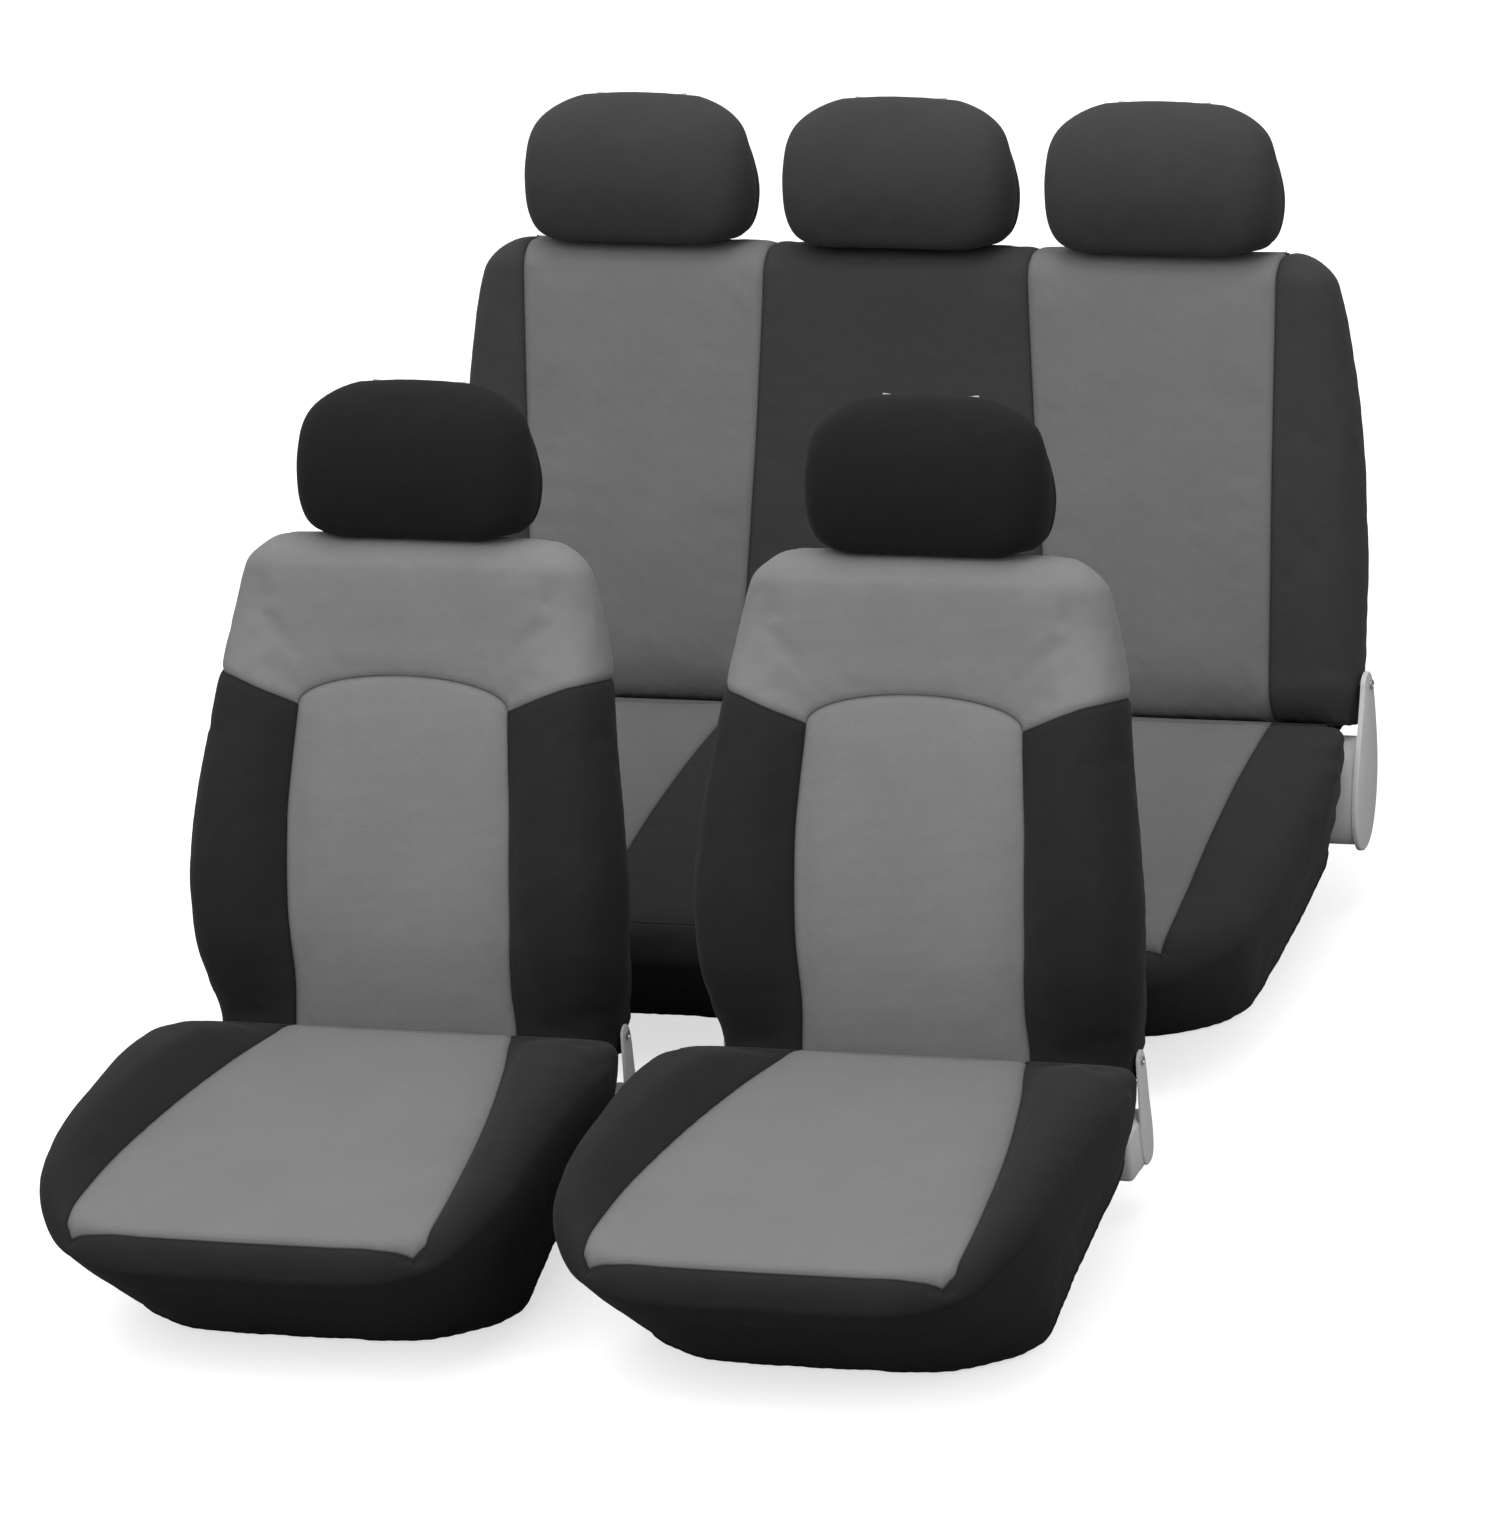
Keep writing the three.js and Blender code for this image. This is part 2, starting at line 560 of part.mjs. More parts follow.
// Everything behind the seam round the backrest's sides and top.
function rearPanelCut(shift) {
  const seam = REAR_PANEL_LEVELS.map((z) => {
    const rearFace = curve(FRONT_BACK.depths, z) - curve(FRONT_BACK.lumbar, z);
    return [rearFace - REAR_PANEL_WRAP + shift, z];
  });
  return prismYZ(polygon([...seam, [300, 700], [300, -80]]), [-FRONT_REACH, FRONT_REACH]);
}
// The centre panel's outline, with its arched top.
function centrePanelOutline(grow) {
  const { half, base, rise, steps } = PANEL_ARCH;
  const side = PANEL_LEVELS.map((z) => [curve(PANEL_SIDE, z) + grow, z]);
  const arch = [];
  for (let i = 0; i <= steps; i++) {
    const angle = (i / steps) * Math.PI;
    const x = half * Math.cos(angle);
    const widen = Math.abs(x) > 1 ? Math.sign(x) * grow : 0;
    arch.push([x + widen, base + rise * Math.sin(angle) + grow]);
  }
  return [...side, ...arch, ...side.map(([x, z]) => [-x, z]).reverse()];
}
function addFrontBack(seat, prefix) {
  const back = addGroup(seat, 0, 0, 0);
  back.rotation.x = -FRONT_RECLINE;
  const { pivot, top } = FRONT_BACK;
  const through = [-FRONT_REACH, FRONT_REACH];
  const cloth = shellOf(backSkin(FRONT_BACK))
    .subtract(postHoles(POST_OPENING_R, POST_OPENING_LOW, [0], POST.y))
    .subtract(rodX(ROD_OPENING_R, through, pivot.y, pivot.z));
  put(back, prefix + "_back_rear_panel", cloth.intersect(rearPanelCut(0)), BLACK);
  const front = cloth.subtract(rearPanelCut(-SEAM));
  const centre = front.intersect(prismXZ(centrePanelOutline(0), -80, 40));
  put(back, prefix + "_back_centre_panel", centre, GREY);

  const rest = front.subtract(prismXZ(centrePanelOutline(SEAM), -90, 40));
  const above = [...YOKE_SEAM, [FRONT_REACH, 700], [-FRONT_REACH, 700]];
  const lowerSeam = YOKE_SEAM.map(([x, z]) => [x, z - SEAM]).reverse();
  const below = [[-FRONT_REACH, -100], [FRONT_REACH, -100], ...lowerSeam];
  put(back, prefix + "_back_yoke", rest.intersect(prismXZ(above, -90, 200)), GREY);
  const lower = rest.intersect(prismXZ(below, -90, 200));
  for (const [name, side] of SIDES) {
    const half = box(span(side, 60, FRONT_REACH), [-100, 200], [-100, 600]);
    put(back, `${prefix}_back_bolster_${name}`, lower.intersect(half), BLACK);
  }

  const form = backForm(FRONT_BACK)
    .subtract(postHoles(POST_BORE_R, FRONT_BORE_LOW, [0], POST.y))
    .subtract(rodX(ROD_BORE_R, through, pivot.y, pivot.z));
  put(back, prefix + "_back_form", form, PALE);
  headrest(back, prefix + "_headrest", 0, 0, top);
}
function addFrontSeat(parent, x, prefix) {
  const seat = addGroup(parent, x, 0, FRONT_CREASE_Z);
  addFrontCushion(seat, prefix);
  addFrontBack(seat, prefix);
  addHinge(seat, prefix, FRONT_BACK.pivot, FRONT_RECLINE, FRONT_HINGE);
}

// ---------- rear bench ----------
const REAR_CREASE_Z = 222;
const REAR_FLOOR = -REAR_CREASE_Z;
const SHELF_TOP = REAR_FLOOR + 180;
const REAR_RECLINE = radians(20);
const REAR_REACH = 800;

// Tables: [height along the backrest, value].
const REAR_BACK = {
  widths: [ // half widths
    [0, 588], [100, 597], [200, 600], [300, 598], [400, 591], [500, 578], [590, 566],
  ],
  depths: [[58, 110], [200, 110], [400, 100], [590, 92]],
  seamIn: [[-20, 212], [160, 198], [400, 182], [600, 174]], // |x| of the seams
  seamOut: [[-20, 490], [300, 493], [600, 498]],
  top: 586,
  pivot: { y: 55, z: 58, radius: 55 },
  corner: 42,
  crown: 38,
  arch: 0,
  narrow: 0,
  stations: [500, 400, 290, 170, 58, 38, 22],
  formEnd: [10],
  layout: { front: [0, 0.34, 0.62, 0.9], steps: [2, 2], back: [0.5, 0] },
};
// Tables: [f, value].
const BENCH = {
  widths: [[-30, 586], [0, 590], [100, 596], [250, 598], [400, 592], [520, 580]],
  topline: [[-30, 8], [0, 9], [100, 7], [250, -6], [380, -28], [460, -42], [520, -54]],
  hem: [[-20, -138], [150, -166], [338, -198], [440, -216]],
  seamIn: [[-40, 212], [0, 214], [520, 234]],
  seamOut: [[-40, 490], [0, 491], [520, 508]],
  length: 520,
  rear: -10,
  mid: 250,
  wide: 598,
  cornerFront: 130,
  cornerRear: 26,
  edge: 40,
  creaseZ: REAR_CREASE_Z,
  tuck: 122,
  taper: 0.08,
  layout: { front: [0, 0.45, 0.85], steps: [3, 1], back: [0.6, 0], side: [0.3, 0.7] },
};
const BENCH_STATIONS = Array.from({ length: 11 }, (_, i) => -40 + 53 * i); // f
const BENCH_PANEL_FRONT = BENCH_STATIONS.at(-1);
const REAR_BACK_LEVELS = [-40, 60, 160, 280, 400, 500, 650];
// boxes: half width, then y and z ranges
const SHELF_CUT = [548, [-30, 60], [REAR_FLOOR - 5, SHELF_TOP + 3]];
const BENCH_BASE = [
  [545, [-60, 30], [-128, SHELF_TOP]],
  [480, [-365, 30], [REAR_FLOOR, -120]],
  [603, [22, 82], [SHELF_TOP - 60, SHELF_TOP - 10]],
];
const REAR_OPENING = [512, [70, 200], [-50, 500]];
const REAR_STRAP = [506, [107.5, 110], [250, 290]];
const REAR_BUCKLE = [28, [110.3, 116], [247, 293]];
const HEADREST_SPACING = 346;
const REAR_HEADRESTS = [["left", -HEADREST_SPACING], ["centre", 0], ["right", HEADREST_SPACING]];
const REAR_POST_SHIFT = -20; // the rear headrests stand this much further forward
const REAR_BORE_LOW = 370;
const REAR_HINGE = { foot: REAR_FLOOR + 112, plateX: 603.4, rodEnd: 611, capEnd: 616.5 };

// The centre panel and one on either side; cut gives the prism between two seam lines.
function putThreePanels(group, prefix, cover, cut, inner, outer) {
  const left = cut((at) => -outer(at), (at) => -inner(at) - SEAM);
  const right = cut((at) => inner(at) + SEAM, outer);
  put(group, prefix + "_centre_panel", cover.intersect(cut((at) => -inner(at), inner)), BLACK);
  put(group, prefix + "_panel_left", cover.intersect(left), GREY);
  put(group, prefix + "_panel_right", cover.intersect(right), GREY);
}

function benchCut(low, high, grow = 0) {
  const outline = band(BENCH_STATIONS, low, high).map(([x, f]) =>
    [x, -f - (f === BENCH_PANEL_FRONT ? grow : 0)]);
  return prismXY(outline, -90 - grow, 120);
}
function addBench(seat) {
  const shell = shellOf(cushionSkin(BENCH)).subtract(centredBox(...SHELF_CUT));
  const inner = (f) => curve(BENCH.seamIn, f);
  const outer = (f) => curve(BENCH.seamOut, f);
  putThreePanels(seat, "rear_bench", shell, benchCut, inner, outer);
  const panels = benchCut((f) => -outer(f) - SEAM, (f) => outer(f) + SEAM, SEAM);
  put(seat, "rear_bench_surround", shell.subtract(panels), BLACK);
  const base = BENCH_BASE.map((part) => centredBox(...part));
  put(seat, "rear_bench_form", union([cushionForm(BENCH), ...base]), PALE);
}

const rearBackCut = (low, high) => prismXZ(band(REAR_BACK_LEVELS, low, high), -100, 200);

function addRearBack(seat) {
  const back = addGroup(seat, 0, 0, 0);
  back.rotation.x = -REAR_RECLINE;
  const { pivot, top } = REAR_BACK;
  const through = [-REAR_REACH, REAR_REACH];
  const centres = REAR_HEADRESTS.map(([, x]) => x);
  const postY = POST.y + REAR_POST_SHIFT;
  // the cover stops in a hem round the back, and the form shows inside it
  const cloth = shellOf(backSkin(REAR_BACK))
    .subtract(postHoles(POST_OPENING_R, POST_OPENING_LOW, centres, postY))
    .subtract(centredBox(...REAR_OPENING))
    .subtract(rodX(ROD_OPENING_R, through, pivot.y, pivot.z));
  const inner = (z) => curve(REAR_BACK.seamIn, z);
  const outer = (z) => curve(REAR_BACK.seamOut, z);
  putThreePanels(back, "rear_back", cloth, rearBackCut, inner, outer);
  const left = rearBackCut(() => -REAR_REACH, (z) => -outer(z) - SEAM);
  const right = rearBackCut((z) => outer(z) + SEAM, () => REAR_REACH);
  put(back, "rear_back_side_left", cloth.intersect(left), BLACK);
  put(back, "rear_back_side_right", cloth.intersect(right), BLACK);

  const form = backForm(REAR_BACK)
    .subtract(postHoles(POST_BORE_R, REAR_BORE_LOW, centres, postY))
    .subtract(rodX(ROD_BORE_R, through, pivot.y, pivot.z));
  put(back, "rear_back_form", form, PALE);
  put(back, "rear_back_strap", centredBox(...REAR_STRAP), WEB);
  put(back, "rear_back_strap_buckle", centredBox(...REAR_BUCKLE), PLASTIC);
  for (const [name, x] of REAR_HEADRESTS) {
    headrest(back, "rear_headrest_" + name, x, REAR_POST_SHIFT, top);
  }
}
function addRearSeat(parent) {
  const seat = addGroup(parent, 0, REAR_CREASE_Y, REAR_CREASE_Z);
  addBench(seat);
  addRearBack(seat);
  addHinge(seat, "rear", REAR_BACK.pivot, REAR_RECLINE, REAR_HINGE);
}

// ---------- the set ----------
const set = new THREE.Group();
const root = addGroup(set, 0, -ORIGIN_Y, 0);
for (const [name, side] of SIDES) addFrontSeat(root, (side * FRONT_SPACING) / 2, "front_" + name);
addRearSeat(root);
export default set;
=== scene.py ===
# Seat cover set: the looks. Every soft piece is a sewn panel cut from a fine sheet over its seat form.
import bpy, bmesh, math
import numpy as np
from mathutils import Vector, Matrix, kdtree


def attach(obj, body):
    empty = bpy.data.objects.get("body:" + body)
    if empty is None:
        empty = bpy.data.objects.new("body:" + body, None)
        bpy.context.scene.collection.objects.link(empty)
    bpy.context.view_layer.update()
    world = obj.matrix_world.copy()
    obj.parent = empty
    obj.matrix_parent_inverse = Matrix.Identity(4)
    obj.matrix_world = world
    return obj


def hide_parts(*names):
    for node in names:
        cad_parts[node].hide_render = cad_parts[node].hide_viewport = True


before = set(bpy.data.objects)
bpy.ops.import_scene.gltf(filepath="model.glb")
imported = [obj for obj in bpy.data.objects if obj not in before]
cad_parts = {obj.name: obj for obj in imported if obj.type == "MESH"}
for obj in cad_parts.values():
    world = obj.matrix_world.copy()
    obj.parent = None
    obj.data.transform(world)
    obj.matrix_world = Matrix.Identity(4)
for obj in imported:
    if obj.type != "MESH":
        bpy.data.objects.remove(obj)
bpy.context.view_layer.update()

MM = 0.001
RNG = np.random.default_rng(7)
PI = math.pi

# ------------------------------------------------------------------ dimensions, millimetres, as in the CAD model
ORIGIN_Y = 305.1547
FRONT_SPACING, FRONT_CREASE_Z, FRONT_RECLINE, FRONT_TOP = 650, 201, 20.7, 590
FRONT_PIVOT = (60, 0, 60)
REAR_CREASE_Y, REAR_CREASE_Z, REAR_RECLINE, REAR_TOP = 845, 222, 20, 586
REAR_PIVOT = (55, 58, 55)
REAR_HEAD_SPACING, REAR_POST_SHIFT = 346, -20
POST_R, POST_X, POST_Y = 5.5, 75, 50
FABRIC, CLEAR = 4, 1.5

FRONT_BACK_W = [(-60, 244), (0, 254), (43, 264), (80, 271), (115, 273), (170, 274), (255, 269), (340, 259), (426, 249), (520, 230), (560, 219), (590, 207)]
FRONT_LUMBAR = [(0, 0), (60, 9), (120, 18), (200, 22), (300, 18), (400, 8), (480, 0)]
FRONT_BACK_D = [(-60, 120), (100, 120), (300, 110), (500, 96), (590, 92)]
FRONT_BOLSTER = [(-60, 0), (0, 0), (25, 4), (60, 17), (110, 31), (180, 36), (280, 32), (380, 22), (450, 10), (520, 0), (590, 0)]
FRONT_PANEL_W = [(-60, 143), (0, 143), (60, 139), (150, 142), (250, 142), (330, 138), (388, 135)]
REAR_BACK_W = [(0, 586), (100, 592), (200, 594), (300, 592), (400, 586), (500, 573), (545, 563), (575, 549), (590, 541)]
REAR_BACK_D = [(58, 110), (200, 110), (400, 100), (590, 92)]
REAR_SEAM_IN = [(-20, 212), (160, 198), (400, 182), (600, 174)]
REAR_SEAM_OUT = [(-20, 490), (300, 493), (600, 498)]
CUSHION_W = [(-20, 277), (0, 283), (60, 292), (150, 298), (250, 299), (350, 298), (430, 293), (500, 285), (560, 275)]
CUSHION_TOP = [(-20, 8), (0, 10), (80, 13), (200, 14), (350, 13), (450, 8), (520, 1), (560, -6)]
CUSHION_BOLSTER = [(-20, 0), (24, 0), (60, 14), (120, 37), (200, 46), (340, 43), (430, 30), (500, 10), (545, 0), (600, 0)]
CUSHION_PANEL_W = [(-40, 143), (0, 145), (120, 174), (230, 198), (330, 214), (410, 223), (470, 227), (560, 230)]
CUSHION_HEM = [(0, -86), (130, -108), (272, -138), (350, -160), (430, -193)]
BENCH_HEM = [(-20, -138), (150, -166), (338, -198), (440, -216)]
BENCH_W = [(-30, 588), (0, 592), (100, 599), (250, 599), (400, 592), (520, 580)]
BENCH_TOP = [(-30, 8), (0, 9), (100, 7), (250, -6), (380, -28), (460, -42), (520, -54)]
BENCH_SEAM_IN = [(-40, 212), (0, 214), (520, 234)]
BENCH_SEAM_OUT = [(-40, 490), (0, 491), (520, 508)]
HEAD_W = [(0, 134), (12, 141), (35, 147), (80, 150), (120, 147), (160, 138), (186, 122)]
HEAD_H = [(0, 44), (20, 55), (60, 60), (110, 52), (160, 39), (190, 30)]
HEAD_F = [(0, 6), (20, -8), (70, -14), (120, -10), (160, 2), (190, 16)]
HEAD_TALL = 184


def curve(table, v):
    """Cubic through the table's points with limited slopes."""
    t = np.asarray(table, float)
    x, y = t[:, 0], t[:, 1]
    v = np.clip(np.asarray(v, float), x[0], x[-1])
    h, d = np.diff(x), np.diff(y) / np.diff(x)
    m = np.zeros(len(x))
    for k in range(1, len(x) - 1):
        if d[k - 1] * d[k] > 0:
            m[k] = 2 * d[k - 1] * d[k] / (d[k - 1] + d[k])
    i = np.clip(np.searchsorted(x, v, side="right") - 1, 0, len(x) - 2)
    u = (v - x[i]) / h[i]
    return (2 * u**3 - 3 * u**2 + 1) * y[i] + (u**3 - 2 * u**2 + u) * m[i] * h[i] + (3 * u**2 - 2 * u**3) * y[i + 1] + (u**3 - u**2) * m[i + 1] * h[i]


def smooth(a, b, v):
    t = np.clip((np.asarray(v, float) - a) / (b - a), 0, 1)
    return t * t * (3 - 2 * t)


def lumps(P, size, seed):
    """Smooth repeatable noise, about -1 to 1, from a few turned sine waves. P is n x 3 in millimetres."""
    r = np.random.default_rng(seed)
    out = np.zeros(P.shape[:-1])
    for _ in range(7):
        d = r.normal(size=3)
        d /= np.linalg.norm(d)
        out += np.sin(P @ d * (2 * PI / (size * r.uniform(0.7, 1.5))) + r.uniform(0, 2 * PI))
    return out / 3.2


# ------------------------------------------------------------------ sheets: a grid of rings
class Layout:
    """Where each point of a ring lies: front straight, front corner, side, rear corner, rear straight, then mirrored."""

    def __init__(self, front, corner, side, rear_corner, back):
        seg, t = [], []
        for s, n in enumerate((front, corner, side, rear_corner, back)):
            for k in range(n):
                seg.append(s)
                t.append(k / n)
        seg.append(4)
        t.append(1.0)
        h = len(seg)
        self.seg = np.array(seg + seg[1:-1][::-1])
        self.t = np.array(t + t[1:-1][::-1])
        self.sign = np.array([1.0] * h + [-1.0] * (h - 2))
        self.n = len(self.seg)

    def ring(self, w, h, rf, rb):
        """w, h, rf, rb: arrays with one value per ring. Returns x and y, rings by points."""
        w, h, rf, rb = (np.asarray(a, float)[:, None] for a in (w, h, rf, rb))
        rf, rb = np.minimum(rf, np.minimum(w, h)), np.minimum(rb, np.minimum(w, h))
        t, s = self.t[None, :], self.seg[None, :]
        a = t * PI / 2
        x = np.select([s == 0, s == 1, s == 2, s == 3, s == 4], [t * (w - rf), w - rf + rf * np.sin(a), w + 0 * t, w - rb + rb * np.cos(a), (1 - t) * (w - rb)])
        y = np.select([s == 0, s == 1, s == 2, s == 3, s == 4], [-h + 0 * t, -h + rf - rf * np.cos(a), -h + rf + t * (2 * h - rf - rb), h - rb + rb * np.sin(a), h + 0 * t])
        return x * self.sign, y


def grid_normals(P):
    du = np.roll(P, -1, axis=1) - np.roll(P, 1, axis=1)
    dv = np.empty_like(P)
    dv[1:-1] = P[2:] - P[:-2]
    dv[0], dv[-1] = P[1] - P[0], P[-1] - P[-2]
    n = np.cross(dv, du)
    n /= np.maximum(np.linalg.norm(n, axis=-1, keepdims=True), 1e-9)
    c = P.mean(axis=(0, 1))
    if np.sum(n * (P - c)) < 0:
        n = -n
    return n


def relax(P, rounds, weight=None):
    """Evens a grid of rings out, in both directions, keeping its first and last rings where they are."""
    P = P.copy()
    w = np.ones(P.shape[0]) if weight is None else weight
    w = w[:, None, None] * 0.5
    for _ in range(rounds):
        A = (np.roll(P, 1, axis=1) + np.roll(P, -1, axis=1)) / 2
        B = P.copy()
        B[1:-1] = (P[2:] + P[:-2]) / 2
        M = (A + B) / 2
        M[0], M[-1] = P[0], A[-1]
        P = P * (1 - w) + M * w
    return P


def flat_crown(P, r=3):
    """Lays the first rings level with ring r, so the line along the top doesn't stand proud of it."""
    P = P.copy()
    mid = P[r, :, 1].mean()
    for i in range(r):
        f = 0.02 + 0.98 * i / r
        P[i, :, 0] = P[r, :, 0] * (0.985 + 0.015 * f)
        P[i, :, 1] = mid + (P[r, :, 1] - mid) * f
        P[i, :, 2] = P[r, :, 2] + 0.1 * (1 - f)
    return P


def round_hem(P, rows, sigma):
    """Smooths the lower rings along their length, more towards the hem, so a skirt turns its corners softly."""
    P = P.copy()
    R, N = P.shape[:2]
    for r in range(R - rows, R):
        k = (r - (R - rows) + 1) / rows
        sg = max(0.3, sigma * k)
        m = int(3 * sg) + 1
        t = np.arange(-m, m + 1)
        g = np.exp(-(t / sg) ** 2 / 2)
        g /= g.sum()
        P[r] = sum(wt * np.roll(P[r], j, axis=0) for wt, j in zip(g, t))
    return P


def grid_faces(R, N):
    r, k = np.meshgrid(np.arange(R - 1), np.arange(N), indexing="ij")
    a, b = r * N + k, r * N + (k + 1) % N
    return np.stack([a, a + N, b + N, b], -1).reshape(-1, 4)


# ------------------------------------------------------------------ backrests
FRONT_BACK = dict(w=FRONT_BACK_W, d=FRONT_BACK_D, top=FRONT_TOP, pivot=FRONT_PIVOT, corner=44, crown=38, bolster=FRONT_BOLSTER, panel=142, arch=4, lumbar=FRONT_LUMBAR, narrow=0.06)
REAR_BACK = dict(w=REAR_BACK_W, d=REAR_BACK_D, top=REAR_TOP, pivot=REAR_PIVOT, corner=42, crown=38, bolster=None, panel=0, arch=0, lumbar=None, narrow=0)


def back_sheet(k, lay, step, hem):
    """Rings from the middle of the crown down to the hem, in backrest coordinates (x, depth, height)."""
    R, top = k["crown"], k["top"]
    h0 = float(curve(k["d"], top)) / 2
    caps = np.linspace(h0 - 0.05, R, max(3, int((h0 - R) / step) + 2))[:-1]
    angles = np.radians(np.linspace(0, 90, max(6, int(60 / step) + 2)))
    s = np.concatenate([np.full(len(caps), top), top - R * (1 - np.cos(angles)), np.arange(top - R - step, hem + step * 0.6, -step), [hem]])
    inset = np.concatenate([caps, R * (1 - np.sin(angles)), np.zeros(len(s) - len(caps) - len(angles))])
    return back_rings(k, lay, s, inset)


def back_rings(k, lay, s, inset):
    py, ps, pr = k["pivot"]
    w, h = curve(k["w"], s) - inset, curve(k["d"], s) / 2
    ym = h.copy()
    low = s < ps
    ym[low] = py
    h[low] = np.sqrt(np.maximum(4, pr**2 - (s[low] - ps) ** 2))
    h = np.maximum(0.05, h - inset)
    rc = np.maximum(0.05, np.minimum(k["corner"], h + inset) - inset)
    x, y = lay.ring(w, h, rc, rc)
    sv = s[:, None]
    front, rear = smooth(0.1, 0.95, -y / h[:, None]), smooth(-0.3, 1, y / h[:, None])
    x = x * (1 - k["narrow"] * rear * smooth(-10, 110, sv) * (1 - smooth(330, 520, sv)))
    rise = curve(k["bolster"], sv) * smooth(k["panel"] - 12, k["panel"] + 50, np.abs(x)) * front if k["bolster"] else 0
    arch = k["arch"] * (x / 195) ** 2 * smooth(k["top"] - 130, k["top"] - 20, sv)
    crown = 1.2 * (1 - (np.minimum(h, 8) / 8)[:, None] ** 2) if k["arch"] is not None else 0
    lum = curve(k["lumbar"], sv) if k["lumbar"] else 0
    return np.stack([x, ym[:, None] + y - rise - lum + 0 * x, sv - arch + crown + 0 * x], -1)


# ------------------------------------------------------------------ cushions
FRONT_CUSHION = dict(length=550, rear=14, hem=CUSHION_HEM, mid=275, wide=297, w=CUSHION_W, top=CUSHION_TOP, bolster=CUSHION_BOLSTER, panel=CUSHION_PANEL_W, cf=146, cr=26, edge=38, floor=FRONT_CREASE_Z, tuck=152, taper=0.145)
REAR_CUSHION = dict(length=520, rear=-10, hem=BENCH_HEM, mid=250, wide=598, w=BENCH_W, top=BENCH_TOP, bolster=None, panel=None, cf=130, cr=26, edge=40, floor=REAR_CREASE_Z, tuck=122, taper=0.08)


def cushion_top(k, x, f):
    b = curve(k["bolster"], f) * smooth(curve(k["panel"], f) - 4, curve(k["panel"], f) + 45, np.abs(x)) if k["bolster"] else 0
    return curve(k["top"], f) + b


def cushion_sheet(k, lay, step):
    L = (k["length"] - k["rear"]) / 2
    one = np.ones(1)
    x0, y0 = lay.ring(one * k["wide"], one * L, one * k["cf"], one * k["cr"])
    x0, y0 = x0[0], y0[0]
    tx, ty = np.roll(x0, -1) - np.roll(x0, 1), np.roll(y0, -1) - np.roll(y0, 1)
    ln = np.maximum(np.hypot(tx, ty), 1e-9)
    nx, ny = ty / ln, -tx / ln
    flip = np.where(nx * x0 + ny * y0 < 0, -1, 1)
    nx, ny = nx * flip, ny * flip
    edge = 10 + (k["edge"] - 10) * smooth(0, 130, L + k["rear"] - y0)
    rows = []

    def place(a, rho=None):
        t = math.radians(a)
        inset, drop = edge * (1 - math.sin(t)), edge * (1 - math.cos(t))
        x, f = x0 - nx * inset, L + k["rear"] - (y0 - ny * inset)
        x = x * curve(k["w"], f) / k["wide"]
        if rho is not None:
            x, f = x * rho, k["mid"] + (f - k["mid"]) * rho
        return x, f, cushion_top(k, x, f) - drop

    for rho in np.linspace(0.012, 1, max(12, int(290 / step))):
        x, f, z = place(0, rho)
        rows.append(np.stack([x, -f, z], -1))
    for a in np.linspace(0, 90, max(6, int(62 / step)))[1:]:
        x, f, z = place(a)
        rows.append(np.stack([x, -f, z], -1))
    x, f, _ = place(90)
    z0 = cushion_top(k, x, f) - edge
    for tau in np.linspace(0, 1, max(8, int(165 / step)))[1:]:
        z = z0 + (curve(k["hem"], f) - z0) * tau
        T = (z0 - z) / (z0 + k["floor"])
        belly = 2.5 * np.sin(PI * tau) ** 1.5
        rows.append(np.stack([(x + nx * belly) * (1 - k["taper"] * T), -(f - k["tuck"] * smooth(k["length"] * 0.35, k["length"], f) * T) + ny * belly, z], -1))
    return np.array(rows)


# ------------------------------------------------------------------ headrests
def head_sheet(lay, step):
    R, top = 30, HEAD_TALL
    h0 = float(curve(HEAD_H, top))
    caps = np.linspace(h0 - 0.05, R, 4)[:-1]
    a = np.radians(np.linspace(0, 90, max(7, int(48 / step))))
    b = np.radians(np.linspace(0, 90, 7))[1:]
    s = np.concatenate([np.full(3, top), top - R * (1 - np.cos(a)), np.arange(top - R - step, 14 + step * 0.5, -step), [14], 14 - 13 * np.sin(b), [0.6, 1.2]])
    inset = np.zeros(len(s))
    wide = np.zeros(len(s))
    wide[:3], wide[3:3 + len(a)] = 16 + caps * 0.5, 16 * (1 - np.sin(a))
    inset[:3], inset[3:3 + len(a)] = caps, R * (1 - np.sin(a))
    inset[-len(b) - 2:-2], inset[-2:] = 15 * (1 - np.cos(b)), [19, 26]
    w, h = curve(HEAD_W, s) - inset - wide, np.maximum(0.05, curve(HEAD_H, s) - inset)
    ym = curve(HEAD_F, s) + curve(HEAD_H, s)
    x, y = lay.ring(w, h, np.minimum(h, 42), np.minimum(h, 42))
    sv, hv, iv = s[:, None], h[:, None], inset[:, None]
    lip = 14 * (1 - smooth(0, 45, sv))
    crown = 0.5 * (1 - (np.minimum(hv, 8) / 8) ** 2)
    x = x * (1 - 0.085 * smooth(-0.2, 1, y / np.maximum(hv, 1)) * smooth(50, 165, sv))
    bulge = 3.0 * np.sin(PI * np.clip(sv / 184, 0, 1)) * (1 - (x / 165) ** 2) * smooth(0.2, 1, -y / hv)
    return np.stack([x, ym[:, None] + y - bulge, sv - 12 * (x / 130) ** 2 * smooth(100, 180, sv) - lip * np.maximum(0, -y / (hv + iv)) ** 3 + crown], -1)


